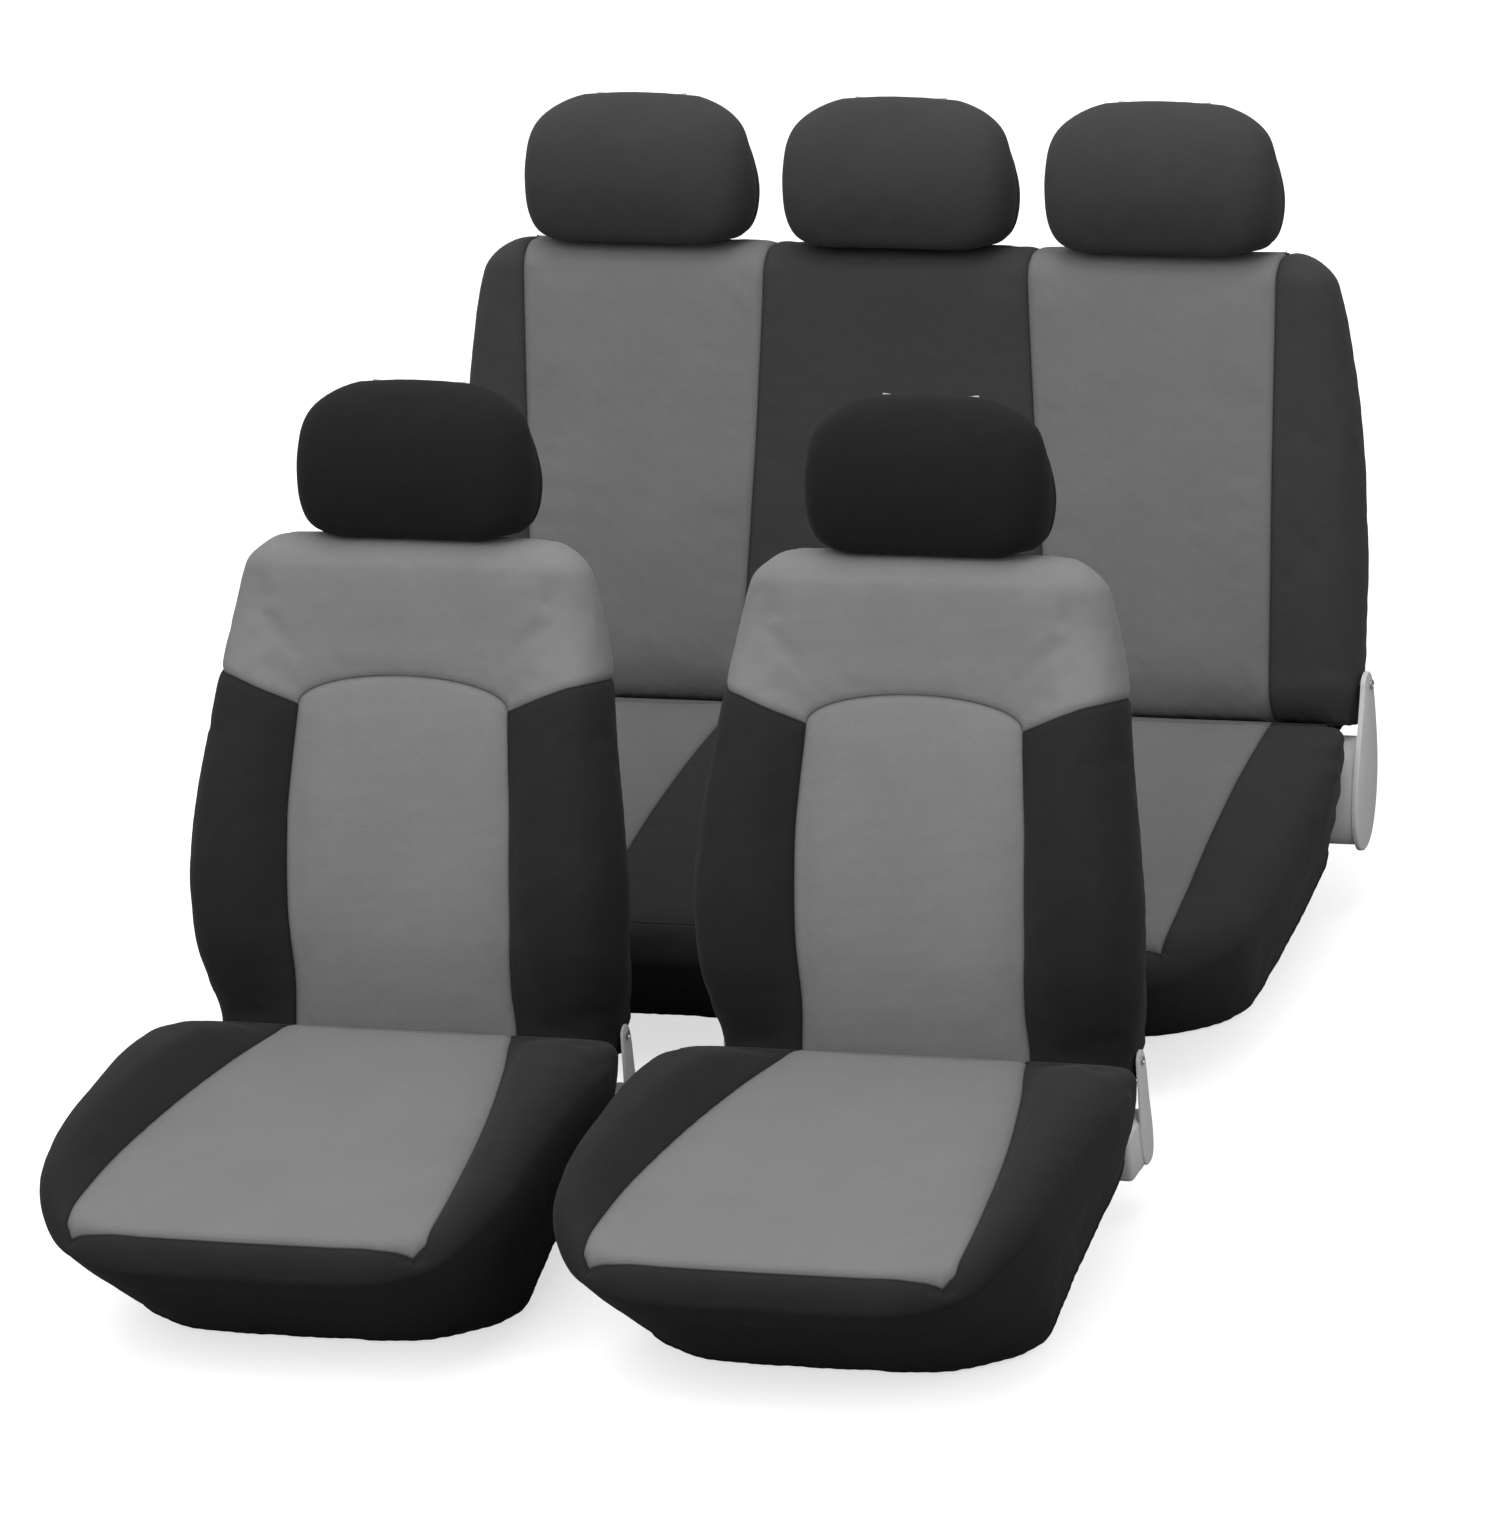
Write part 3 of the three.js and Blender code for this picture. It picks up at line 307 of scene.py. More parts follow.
# ------------------------------------------------------------------ from local to the shared frame, metres
class Place:
    def __init__(self, x, y, z, lean=0.0, mirror=False):
        self.o, self.r, self.m = np.array([x, y, z], float), math.radians(lean), mirror

    def __call__(self, P):
        P = np.asarray(P, float)
        c, s = math.cos(self.r), math.sin(self.r)
        x, y, z = P[..., 0], P[..., 1], P[..., 2]
        if self.m:
            x = -x
        return (np.stack([x, y * c + z * s, -y * s + z * c], -1) + self.o) * MM

    def vec(self, v):
        return (self(np.asarray(v, float)) - self(np.zeros(3))) / MM


def at_front(side):
    return Place(side * FRONT_SPACING / 2, -ORIGIN_Y, FRONT_CREASE_Z), Place(side * FRONT_SPACING / 2, -ORIGIN_Y, FRONT_CREASE_Z, FRONT_RECLINE)


REAR_SEAT = Place(0, REAR_CREASE_Y - ORIGIN_Y, REAR_CREASE_Z)
REAR_LEAN = Place(0, REAR_CREASE_Y - ORIGIN_Y, REAR_CREASE_Z, REAR_RECLINE)


# ------------------------------------------------------------------ meshes with fields, clipped along seams
class Sheet:
    """Points P, normals n, faces, and named fields with one number per point."""

    def __init__(self, P, n, faces, fields):
        self.P, self.n, self.faces, self.fields = P, n, faces, fields

    def split(self, name):
        """Two sheets: where the field is below zero, and where it is above."""
        f = self.fields[name].copy()
        f[np.abs(f) < 1e-6] = 1e-6
        P, n = list(self.P), list(self.n)
        names = list(self.fields)
        F = {q: list(self.fields[q]) for q in names}
        cut = {}

        def crossing(a, b):
            key = (a, b) if a < b else (b, a)
            if key not in cut:
                t = f[a] / (f[a] - f[b])
                cut[key] = len(P)
                P.append(P[a] * (1 - t) + P[b] * t)
                n.append(n[a] * (1 - t) + n[b] * t)
                for q in names:
                    F[q].append(F[q][a] * (1 - t) + F[q][b] * t)
                F[name][-1] = 0.0
            return cut[key]

        lo, hi = [], []
        for face in self.faces:
            v = [f[i] < 0 for i in face]
            if all(v):
                lo.append(face)
            elif not any(v):
                hi.append(face)
            else:
                a, b = [], []
                m = len(face)
                for j in range(m):
                    p, q = face[j], face[(j + 1) % m]
                    (a if f[p] < 0 else b).append(p)
                    if (f[p] < 0) != (f[q] < 0):
                        c = crossing(p, q)
                        a.append(c)
                        b.append(c)
                if len(a) > 2:
                    lo.append(tuple(a))
                if len(b) > 2:
                    hi.append(tuple(b))
        P, n = np.array(P), np.array(n)
        F = {q: np.array(F[q]) for q in names}
        return Sheet(P, n, lo, F), Sheet(P, n, hi, F)

    def tidy(self):
        used = sorted(set(i for face in self.faces for i in face))
        back = {v: i for i, v in enumerate(used)}
        u = np.array(used, int)
        return Sheet(self.P[u], self.n[u], [tuple(back[i] for i in face) for face in self.faces], {q: self.fields[q][u] for q in self.fields})


def dist_polyline(X, Y, pts, closed):
    """Distance to a polyline, negative inside when closed."""
    pts = np.asarray(pts, float)
    q = np.roll(pts, -1, axis=0) if closed else pts[1:]
    p = pts if closed else pts[:-1]
    best = np.full(X.shape, 1e9)
    inside = np.zeros(X.shape, bool)
    for (ax, ay), (bx, by) in zip(p, q):
        dx, dy = bx - ax, by - ay
        L = dx * dx + dy * dy
        if L < 1e-12:
            continue
        t = np.clip(((X - ax) * dx + (Y - ay) * dy) / L, 0, 1)
        best = np.minimum(best, np.hypot(X - ax - t * dx, Y - ay - t * dy))
        if closed:
            hit = ((ay > Y) != (by > Y)) & (X < (bx - ax) * (Y - ay) / (by - ay + 1e-30) + ax)
            inside ^= hit
    return np.where(inside, -best, best) if closed else best


# ------------------------------------------------------------------ materials
def nodes_of(name):
    m = bpy.data.materials.new(name)
    m.use_nodes = True
    nt = m.node_tree
    b = nt.nodes["Principled BSDF"]
    tc = nt.nodes.new("ShaderNodeTexCoord")
    return m, nt, b, tc


def add(nt, kind, **kw):
    n = nt.nodes.new(kind)
    for k, v in kw.items():
        if k in n.inputs:
            n.inputs[k].default_value = v
        else:
            setattr(n, k, v)
    return n


def math_node(nt, op, a, b=None, clamp=False):
    n = nt.nodes.new("ShaderNodeMath")
    n.operation = op
    n.use_clamp = clamp
    for i, v in enumerate((a, b)):
        if v is None:
            continue
        if isinstance(v, (int, float)):
            n.inputs[i].default_value = v
        else:
            nt.links.new(v, n.inputs[i])
    return n.outputs[0]


def fabric(name, color, dark, rough=0.92, sheen=0.35, weave=0.00155, bump=0.35, tone=0.10):
    """Knit: rows of small loops, mottled yarn, a soft sheen. Object coordinates, so it doesn't swim in a pose."""
    m, nt, b, tc = nodes_of(name)
    L = nt.links
    mp = add(nt, "ShaderNodeMapping")
    L.new(tc.outputs["Object"], mp.inputs["Vector"])
    sep = add(nt, "ShaderNodeSeparateXYZ")
    L.new(mp.outputs[0], sep.inputs[0])
    k = 2 * PI / weave
    up = math_node(nt, "ADD", math_node(nt, "MULTIPLY", sep.outputs[1], 0.8), sep.outputs[2])
    cols = math_node(nt, "SINE", math_node(nt, "MULTIPLY", sep.outputs[0], k))
    zig = math_node(nt, "MULTIPLY", math_node(nt, "ABSOLUTE", cols), 1.4)
    rows = math_node(nt, "SINE", math_node(nt, "ADD", math_node(nt, "MULTIPLY", up, k * 0.8), zig))
    loops = math_node(nt, "ADD", math_node(nt, "MULTIPLY", math_node(nt, "ABSOLUTE", cols), 0.6), math_node(nt, "MULTIPLY", rows, 0.4))
    fuzz = add(nt, "ShaderNodeTexNoise", Scale=900.0, Detail=3.0, Roughness=0.65)
    L.new(mp.outputs[0], fuzz.inputs["Vector"])
    patch = add(nt, "ShaderNodeTexNoise", Scale=9.0, Detail=4.0, Roughness=0.6)
    L.new(mp.outputs[0], patch.inputs["Vector"])
    yarn = add(nt, "ShaderNodeTexNoise", Scale=130.0, Detail=4.0, Roughness=0.7)
    L.new(mp.outputs[0], yarn.inputs["Vector"])
    mixv = math_node(nt, "ADD", math_node(nt, "MULTIPLY", patch.outputs[0], 0.45), math_node(nt, "ADD", math_node(nt, "MULTIPLY", yarn.outputs[0], 0.35), math_node(nt, "MULTIPLY", loops, 0.20)))
    ramp = add(nt, "ShaderNodeValToRGB")
    ramp.color_ramp.elements[0].position, ramp.color_ramp.elements[1].position = 0.28, 0.78
    ramp.color_ramp.elements[0].color = (*[c * (1 - tone) for c in color], 1)
    ramp.color_ramp.elements[1].color = (*[c * (1 + tone) for c in color], 1)
    L.new(mixv, ramp.inputs[0])
    # seams and folds hold a little shade: a vertex value painted on the mesh
    at = add(nt, "ShaderNodeAttribute", attribute_name="shade")
    mx = add(nt, "ShaderNodeMix", data_type="RGBA")
    L.new(at.outputs["Fac"], mx.inputs[0])
    L.new(ramp.outputs[0], mx.inputs[6])
    mx.inputs[7].default_value = (*dark, 1)
    L.new(mx.outputs[2], b.inputs["Base Color"])
    rr = math_node(nt, "ADD", math_node(nt, "MULTIPLY", yarn.outputs[0], 0.12), rough - 0.06, clamp=True)
    L.new(rr, b.inputs["Roughness"])
    b.inputs["Sheen Weight"].default_value = sheen
    b.inputs["Sheen Roughness"].default_value = 0.45
    b.inputs["Sheen Tint"].default_value = (0.85, 0.85, 0.87, 1)
    b.inputs["Specular IOR Level"].default_value = 0.25
    h = math_node(nt, "ADD", math_node(nt, "MULTIPLY", loops, 0.5), math_node(nt, "MULTIPLY", fuzz.outputs[0], 0.7))
    bp = add(nt, "ShaderNodeBump", Strength=bump, Distance=0.0006)
    L.new(h, bp.inputs["Height"])
    bp2 = add(nt, "ShaderNodeBump", Strength=0.35, Distance=0.0022)
    soft = add(nt, "ShaderNodeTexNoise", Scale=26.0, Detail=3.0, Roughness=0.55)
    L.new(mp.outputs[0], soft.inputs["Vector"])
    L.new(soft.outputs[0], bp2.inputs["Height"])
    L.new(bp2.outputs[0], bp.inputs["Normal"])
    L.new(bp.outputs[0], b.inputs["Normal"])
    return m


def hard(name, color, rough, metal=0.0, grain=600.0, depth=0.00012, tone=0.05, coat=0.0):
    m, nt, b, tc = nodes_of(name)
    L = nt.links
    n = add(nt, "ShaderNodeTexNoise", Scale=grain, Detail=4.0, Roughness=0.6)
    L.new(tc.outputs["Object"], n.inputs["Vector"])
    big = add(nt, "ShaderNodeTexNoise", Scale=14.0, Detail=3.0)
    L.new(tc.outputs["Object"], big.inputs["Vector"])
    ramp = add(nt, "ShaderNodeValToRGB")
    ramp.color_ramp.elements[0].color = (*[c * (1 - tone) for c in color], 1)
    ramp.color_ramp.elements[1].color = (*[min(1, c * (1 + tone)) for c in color], 1)
    L.new(big.outputs[0], ramp.inputs[0])
    L.new(ramp.outputs[0], b.inputs["Base Color"])
    L.new(math_node(nt, "ADD", math_node(nt, "MULTIPLY", big.outputs[0], 0.14), rough - 0.07, clamp=True), b.inputs["Roughness"])
    b.inputs["Metallic"].default_value = metal
    b.inputs["Coat Weight"].default_value = coat
    bp = add(nt, "ShaderNodeBump", Strength=0.5, Distance=depth)
    L.new(n.outputs[0], bp.inputs["Height"])
    L.new(bp.outputs[0], b.inputs["Normal"])
    return m


def webbing(name, color):
    m, nt, b, tc = nodes_of(name)
    L = nt.links
    sep = add(nt, "ShaderNodeSeparateXYZ")
    L.new(tc.outputs["Object"], sep.inputs[0])
    k = 2 * PI / 0.0022
    a = math_node(nt, "SINE", math_node(nt, "MULTIPLY", sep.outputs[0], k))
    c = math_node(nt, "SINE", math_node(nt, "MULTIPLY", math_node(nt, "ADD", sep.outputs[2], sep.outputs[1]), k * 1.3))
    h = math_node(nt, "MULTIPLY", a, c)
    ramp = add(nt, "ShaderNodeValToRGB")
    ramp.color_ramp.elements[0].color = (*[v * 0.6 for v in color], 1)
    ramp.color_ramp.elements[1].color = (*[v * 1.8 for v in color], 1)
    L.new(math_node(nt, "ADD", math_node(nt, "MULTIPLY", h, 0.5), 0.5), ramp.inputs[0])
    L.new(ramp.outputs[0], b.inputs["Base Color"])
    b.inputs["Roughness"].default_value = 0.8
    b.inputs["Sheen Weight"].default_value = 0.3
    bp = add(nt, "ShaderNodeBump", Strength=0.6, Distance=0.0006)
    L.new(h, bp.inputs["Height"])
    L.new(bp.outputs[0], b.inputs["Normal"])
    return m


# One grey knit and one black knit make the whole set. GREY_F and BLACK_F are the plain cloth. The copies after them are
# painted light and shade, set lighter or darker part by part for how much light each part gets: the rear back's grey
# darker and its black lighter, the front headrests' black darker.
GREY_F = fabric("knit_grey_front", (0.198, 0.198, 0.199), (0.05, 0.05, 0.05), sheen=0.12)
GREY_R = fabric("knit_grey_rear", (0.170, 0.170, 0.171), (0.045, 0.045, 0.045), sheen=0.12)
BLACK_F = fabric("knit_black_front", (0.0150, 0.0150, 0.0152), (0.0035, 0.0035, 0.0035), sheen=0.045, tone=0.18)
BLACK_H = fabric("knit_black_headrest", (0.0076, 0.0076, 0.0078), (0.0025, 0.0025, 0.0025), sheen=0.03, tone=0.18)
BLACK_R = fabric("knit_black_rear", (0.040, 0.040, 0.0405), (0.009, 0.009, 0.009), sheen=0.06, tone=0.15)
PALE = fabric("seat_upholstery", (0.50, 0.50, 0.49), (0.2, 0.2, 0.2), weave=0.0026, sheen=0.2, tone=0.06)
BASE = hard("seat_base_plastic", (0.60, 0.60, 0.595), 0.6)
STEEL = hard("post_steel", (0.62, 0.63, 0.64), 0.24, metal=1.0, grain=2500, depth=0.00002)
SHIELD = hard("hinge_shield", (0.60, 0.60, 0.595), 0.62)
WEB = webbing("elastic_webbing", (0.012, 0.012, 0.012))
CLIP = hard("clip_plastic", (0.012, 0.012, 0.0125), 0.38)
# Painted shade: more copies of the same knits set darker. The cushions' grey is darker than the backrests' grey, and
# the bench's grey and black are darker than the rear back's.
GREY_C = fabric("knit_grey_cushion", (0.164, 0.164, 0.165), (0.045, 0.045, 0.045), sheen=0.12)
GREY_B = fabric("knit_grey_bench", (0.140, 0.140, 0.141), (0.04, 0.04, 0.04), sheen=0.12)
BLACK_B = fabric("knit_black_bench", (0.0235, 0.0235, 0.0238), (0.006, 0.006, 0.006), sheen=0.05, tone=0.15)
SLOT = {"knit_grey": (GREY_F, GREY_R), "knit_black": (BLACK_F, BLACK_R)}


# ------------------------------------------------------------------ objects
def obj_from(name, P, faces, mat, shade=None, smooth_it=True):
    me = bpy.data.meshes.new(name)
    me.from_pydata([tuple(p) for p in P], [], [tuple(int(i) for i in f) for f in faces])
    me.materials.append(mat)
    if shade is not None:
        a = me.attributes.new("shade", "FLOAT", "POINT")
        a.data.foreach_set("value", np.asarray(shade, np.float32))
    me.validate()
    me.update()
    if smooth_it:
        me.polygons.foreach_set("use_smooth", [True] * len(me.polygons))
    o = bpy.data.objects.new(name, me)
    bpy.context.scene.collection.objects.link(o)
    return o


def finish_piece(o, body, slot, *nodes):
    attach(o, body)
    if nodes:
        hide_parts(*nodes)
    return o


def weld(o, d=0.9):
    bm = bmesh.new()
    bm.from_mesh(o.data)
    bmesh.ops.remove_doubles(bm, verts=bm.verts, dist=d * MM)
    bmesh.ops.dissolve_degenerate(bm, edges=bm.edges, dist=0.05 * MM)
    bmesh.ops.recalc_face_normals(bm, faces=bm.faces)
    bm.to_mesh(o.data)
    bm.free()
    o.data.polygons.foreach_set("use_smooth", [True] * len(o.data.polygons))
    return o


def sweep(path, radius, sides=8, closed=False, squash=1.0):
    """A tube along a path of points (millimetres). radius: a number or one per point. Returns points and faces."""
    path = np.asarray(path, float)
    n = len(path)
    radius = np.full(n, radius, float) if np.isscalar(radius) else np.asarray(radius, float)
    if closed:
        t = np.roll(path, -1, axis=0) - np.roll(path, 1, axis=0)
    else:
        t = np.gradient(path, axis=0)
    t /= np.maximum(np.linalg.norm(t, axis=1, keepdims=True), 1e-9)
    ref = np.array([0, 0, 1.0]) if abs(t[0][2]) < 0.9 else np.array([1.0, 0, 0])
    u = np.cross(t[0], ref)
    u /= np.linalg.norm(u)
    P, us = [], []
    for i in range(n):
        u = u - t[i] * np.dot(u, t[i])
        u /= max(np.linalg.norm(u), 1e-9)
        us.append(u)
    us = np.array(us)
    if closed:  # spread the leftover twist along the loop
        e = us[0] - t[-1] * np.dot(us[0], t[-1])
        ang = math.atan2(np.dot(np.cross(us[-1], e), t[-1]), np.dot(us[-1], e))
        for i in range(n):
            a = ang * i / n
            us[i] = us[i] * math.cos(a) + np.cross(t[i], us[i]) * math.sin(a)
    for i in range(n):
        v = np.cross(t[i], us[i])
        for j in range(sides):
            a = 2 * PI * j / sides
            P.append(path[i] + radius[i] * (us[i] * math.cos(a) + v * math.sin(a) * squash))
    F = []
    for i in range(n if closed else n - 1):
        for j in range(sides):
            a, b = i * sides + j, i * sides + (j + 1) % sides
            c = ((i + 1) % n) * sides
            F.append((a, b, c + (j + 1) % sides, c + j))
    if not closed:
        F.append(tuple(range(sides))[::-1])
        F.append(tuple((n - 1) * sides + j for j in range(sides)))
    return np.array(P), F


def join_parts(parts):
    P, F, k = [], [], 0
    for p, f in parts:
        P.append(np.asarray(p, float))
        F += [tuple(i + k for i in face) for face in f]
        k += len(p)
    return np.concatenate(P), F


def rounded_box(lo, hi, r, steps=3):
    """A box with rounded edges, as points and faces."""
    lo, hi = np.array(lo, float), np.array(hi, float)
    bm = bmesh.new()
    bmesh.ops.create_cube(bm, size=1)
    for v in bm.verts:
        v.co = Vector(((hi + lo) / 2 + np.array(v.co) * (hi - lo)).tolist())
    bmesh.ops.bevel(bm, geom=list(bm.edges), offset=r, segments=steps, affect="EDGES", profile=0.5)
    bm.verts.index_update()
    out = np.array([v.co[:] for v in bm.verts]), [tuple(v.index for v in f.verts) for f in bm.faces]
    bm.free()
    return out


# ------------------------------------------------------------------ cloth: how each cover swells between its seams
def swell(name, P, pinned, voxel, pressure, cap, frames=16, shrink=-0.004):
    """Simulates a remeshed copy of a closed cover under slight pressure, held along its seams and hem.
    P: rings by points, millimetres. pinned(points) says which points are held. Returns a function: points, normals -> outward millimetres."""
    R, N = P.shape[:2]
    V = P.reshape(-1, 3)
    F = [tuple(f) for f in grid_faces(R, N)]
    F.append(tuple(range(N)))
    F.append(tuple((R - 1) * N + k for k in range(N))[::-1])
    o = obj_from(name + "_sim", V * MM, F, GREY_F)
    bm = bmesh.new()
    bm.from_mesh(o.data)
    bmesh.ops.remove_doubles(bm, verts=bm.verts, dist=1 * MM)
    bmesh.ops.recalc_face_normals(bm, faces=bm.faces)
    bm.to_mesh(o.data)
    bm.free()
    bpy.context.view_layer.objects.active = o
    o.select_set(True)
    m = o.modifiers.new("r", "REMESH")
    m.mode, m.voxel_size = "VOXEL", voxel * MM
    bpy.ops.object.modifier_apply(modifier="r")
    rest = np.array([v.co[:] for v in o.data.vertices]) / MM
    g = o.vertex_groups.new(name="pin")
    hold = pinned(rest)
    for w in (1.0, 0.5):
        ids = [int(i) for i in np.nonzero(np.isclose(hold, w))[0]]
        if ids:
            g.add(ids, w, "REPLACE")
    c = o.modifiers.new("cloth", "CLOTH")
    s = c.settings
    s.quality = 5
    s.mass = 0.25
    s.tension_stiffness = s.compression_stiffness = 18
    s.shear_stiffness = 8
    s.bending_stiffness = 1.2
    s.use_pressure = True
    s.uniform_pressure_force = pressure
    s.vertex_group_mass = "pin"
    s.pin_stiffness = 2.0
    s.shrink_min = shrink
    s.effector_weights.gravity = 0
    c.collision_settings.use_collision = False
    c.collision_settings.use_self_collision = False
    c.point_cache.frame_start, c.point_cache.frame_end = 1, frames
    sc = bpy.context.scene
    for fr in range(1, frames + 1):
        sc.frame_set(fr)
    dg = bpy.context.evaluated_depsgraph_get()
    e = o.evaluated_get(dg)
    now = np.array([v.co[:] for v in e.data.vertices]) / MM
    D = now - rest
    sc.frame_set(1)
    bpy.data.objects.remove(o)
    D[~np.isfinite(D).all(1)] = 0
    kd = kdtree.KDTree(len(rest))
    for i, p in enumerate(rest):
        kd.insert(p, i)
    kd.balance()
    print("swell", name, len(rest), "points, mean", round(float(np.linalg.norm(D, axis=1).mean()), 2), "max", round(float(np.linalg.norm(D, axis=1).max()), 2))

    def field(Q, n):
        out = np.zeros((len(Q), 3))
        for i, q in enumerate(Q):
            near = kd.find_n(q, 5)
            w = np.array([1 / (a[2] + voxel * 0.25) ** 2 for a in near])
            out[i] = (D[[a[1] for a in near]] * w[:, None]).sum(0) / w.sum()
        d = (out * n).sum(1)
        return cap * np.tanh(np.clip(d, -1.5, None) / cap)

    return field


STEP = 5.5


# ------------------------------------------------------------------ refining, sorting into panels, making the pieces
def refine(S, name, value=0.0):
    """Cuts a line of points along field = value and keeps every face."""
    f = S.fields[name] - value
    f = np.where(np.abs(f) < 0.25, 0.0, f)
    sg = np.sign(f).astype(int)
    names = list(S.fields)
    extraP, extraN, extraF, cut, base = [], [], {q: [] for q in names}, {}, len(S.P)

    def crossing(a, b):
        key = (a, b) if a < b else (b, a)
        if key not in cut:
            a, b = key
            t = f[a] / (f[a] - f[b])
            cut[key] = base + len(extraP)
            extraP.append(S.P[a] * (1 - t) + S.P[b] * t)
            extraN.append(S.n[a] * (1 - t) + S.n[b] * t)
            for q in names:
                extraF[q].append(S.fields[q][a] * (1 - t) + S.fields[q][b] * t)
        return cut[key]

    out = []
    for face in S.faces:
        v = [sg[i] if i < base else 0 for i in face]
        if not (1 in v and -1 in v):
            out.append(face)
            continue
        a, b = [], []
        m = len(face)
        for j in range(m):
            p, q = face[j], face[(j + 1) % m]
            sp, sq = v[j], v[(j + 1) % m]
            if sp <= 0:
                a.append(p)
            if sp >= 0:
                b.append(p)
            if sp * sq < 0:
                c = crossing(p, q)
                a.append(c)
                b.append(c)
        if len(a) > 2:
            out.append(tuple(a))
        if len(b) > 2:
            out.append(tuple(b))
    if extraP:
        S.P, S.n = np.concatenate([S.P, extraP]), np.concatenate([S.n, extraN])
        for q in names:
            S.fields[q] = np.concatenate([S.fields[q], extraF[q]])
    S.faces = out
    return S


def make_sheet(P, fields, puff=None):
    n = grid_normals(P)
    R, N = P.shape[:2]
    S = Sheet(P.reshape(-1, 3), n.reshape(-1, 3), [tuple(f) for f in grid_faces(R, N)], {k: np.asarray(v, float).reshape(-1).copy() for k, v in fields.items()})
    S.fields["ring"] = np.repeat(np.arange(R, dtype=float), N)
    S.fields["turn"] = np.tile(np.arange(N, dtype=float), R)
    S.fields["puff"] = puff(S.P, S.n) if puff else np.zeros(len(S.P))
    S.R, S.N = R, N
    if np.ptp(P[0], axis=0).min() < 3 and np.ptp(P[0], axis=0).max() < 12:
        S.faces.append(tuple(range(N)))
    return S


def seam_lines(S, names, offsets=(0.0, -1.6, 1.6, -4.2, 4.2, -9.0, 9.0)):
    for q in names:
        for v in offsets:
            refine(S, q, v)
    S.n /= np.maximum(np.linalg.norm(S.n, axis=1, keepdims=True), 1e-9)
    return S


def dress(S, dist, hem_dist, seed, valley=2.5, gather=1.5, lump=0.55, waves=64, extra=None):
    """Turns the smooth base into a worn cover: swelling, dips at the seams, gathers at the hem, faint unevenness."""
    d = np.maximum(dist, 0)
    g = np.exp(-hem_dist / 16.0)
    a = S.fields["turn"] / S.N * 2 * PI
    ruffle = np.sin(a * waves + 1.7 * lumps(S.P, 60, seed + 1)) * (0.65 + 0.35 * lumps(S.P, 90, seed + 2))
    free = 1 - np.exp(-d / 14)
    move = S.fields["puff"] * free - valley * np.exp(-(d / 4.0) ** 2) - 0.8 * np.exp(-(d / 11.0) ** 2)
    move = move + lump * lumps(S.P, 110, seed) * free + 0.22 * lumps(S.P, 26, seed + 3) * free + gather * g * ruffle
    if extra is not None:
        move = move + extra
    S.P = S.P + S.n * move[:, None]
    # painted shade: darker along the seams and in the troughs of the hem's gathers
    S.shade = np.clip(0.66 * np.exp(-(d / 1.5) ** 2) + 0.12 * np.exp(-(d / 6.0) ** 2) + 0.18 * g * np.clip(-ruffle, 0, 1), 0, 0.95)
    return S


def piece(S, keep, place, name, mat, body, slot, nodes, thick=2.2, rims=(), rim_r=2.0, parts=()):
    """One sewn panel from the faces keep() picks, given two-sided thickness, riding on its body."""
    cen = {q: None for q in S.fields}
    flat = np.concatenate([np.array(f) for f in S.faces])
    size = np.array([len(f) for f in S.faces])
    start = np.concatenate([[0], np.cumsum(size)[:-1]])
    mean = {q: np.add.reduceat(S.fields[q][flat], start) / size for q in cen}
    mid = np.add.reduceat(S.P[flat], start, axis=0) / size[:, None]
    mask = keep(mean, mid)
    faces = [S.faces[i] for i in np.nonzero(mask)[0]]
    used = np.unique(np.concatenate([np.array(f) for f in faces]))
    back = np.full(len(S.P), -1)
    back[used] = np.arange(len(used))
    faces = [tuple(int(back[i]) for i in f) for f in faces]
    P, shade, n = place(S.P[used]), S.shade[used], place.vec(S.n[used])
    f0 = faces[len(faces) // 2]
    nn = np.cross(P[f0[1]] - P[f0[0]], P[f0[2]] - P[f0[0]])
    if np.dot(nn, n[f0[0]]) < 0:
        faces = [f[::-1] for f in faces]
    o = obj_from(name, P, faces, mat, shade)
    bm = bmesh.new()
    bm.from_mesh(o.data)
    bmesh.ops.remove_doubles(bm, verts=bm.verts, dist=0.12 * MM)
    bmesh.ops.dissolve_degenerate(bm, edges=bm.edges, dist=0.02 * MM)
    bmesh.ops.triangulate(bm, faces=[f for f in bm.faces if len(f.verts) > 4])
    bm.to_mesh(o.data)
    bm.free()
    bpy.context.view_layer.objects.active = o
    m = o.modifiers.new("thickness", "SOLIDIFY")
    m.thickness, m.offset, m.use_even_offset = thick * MM, -1, False
    bpy.ops.object.select_all(action="DESELECT")
    o.select_set(True)
    bpy.ops.object.modifier_apply(modifier="thickness")
    if rims or parts:
        P2, F2 = join_parts([sweep(np.asarray(path), rim_r, 8, closed) for path, closed in rims] + list(parts))
        # painted shade: the rims and tuck flaps are coloured a quarter of the way to the dark shade colour
        r = obj_from(name + "_rim", place(P2), F2, mat, np.full(len(P2), 0.25))
        bm = bmesh.new()
        bm.from_mesh(r.data)
        bmesh.ops.recalc_face_normals(bm, faces=bm.faces)
        bm.to_mesh(r.data)
        bm.free()
        bpy.ops.object.select_all(action="DESELECT")
        r.select_set(True)
        o.select_set(True)
        bpy.context.view_layer.objects.active = o
        bpy.ops.object.join()
    o.data.polygons.foreach_set("use_smooth", [True] * len(o.data.polygons))
    return finish_piece(o, body, slot, *nodes)


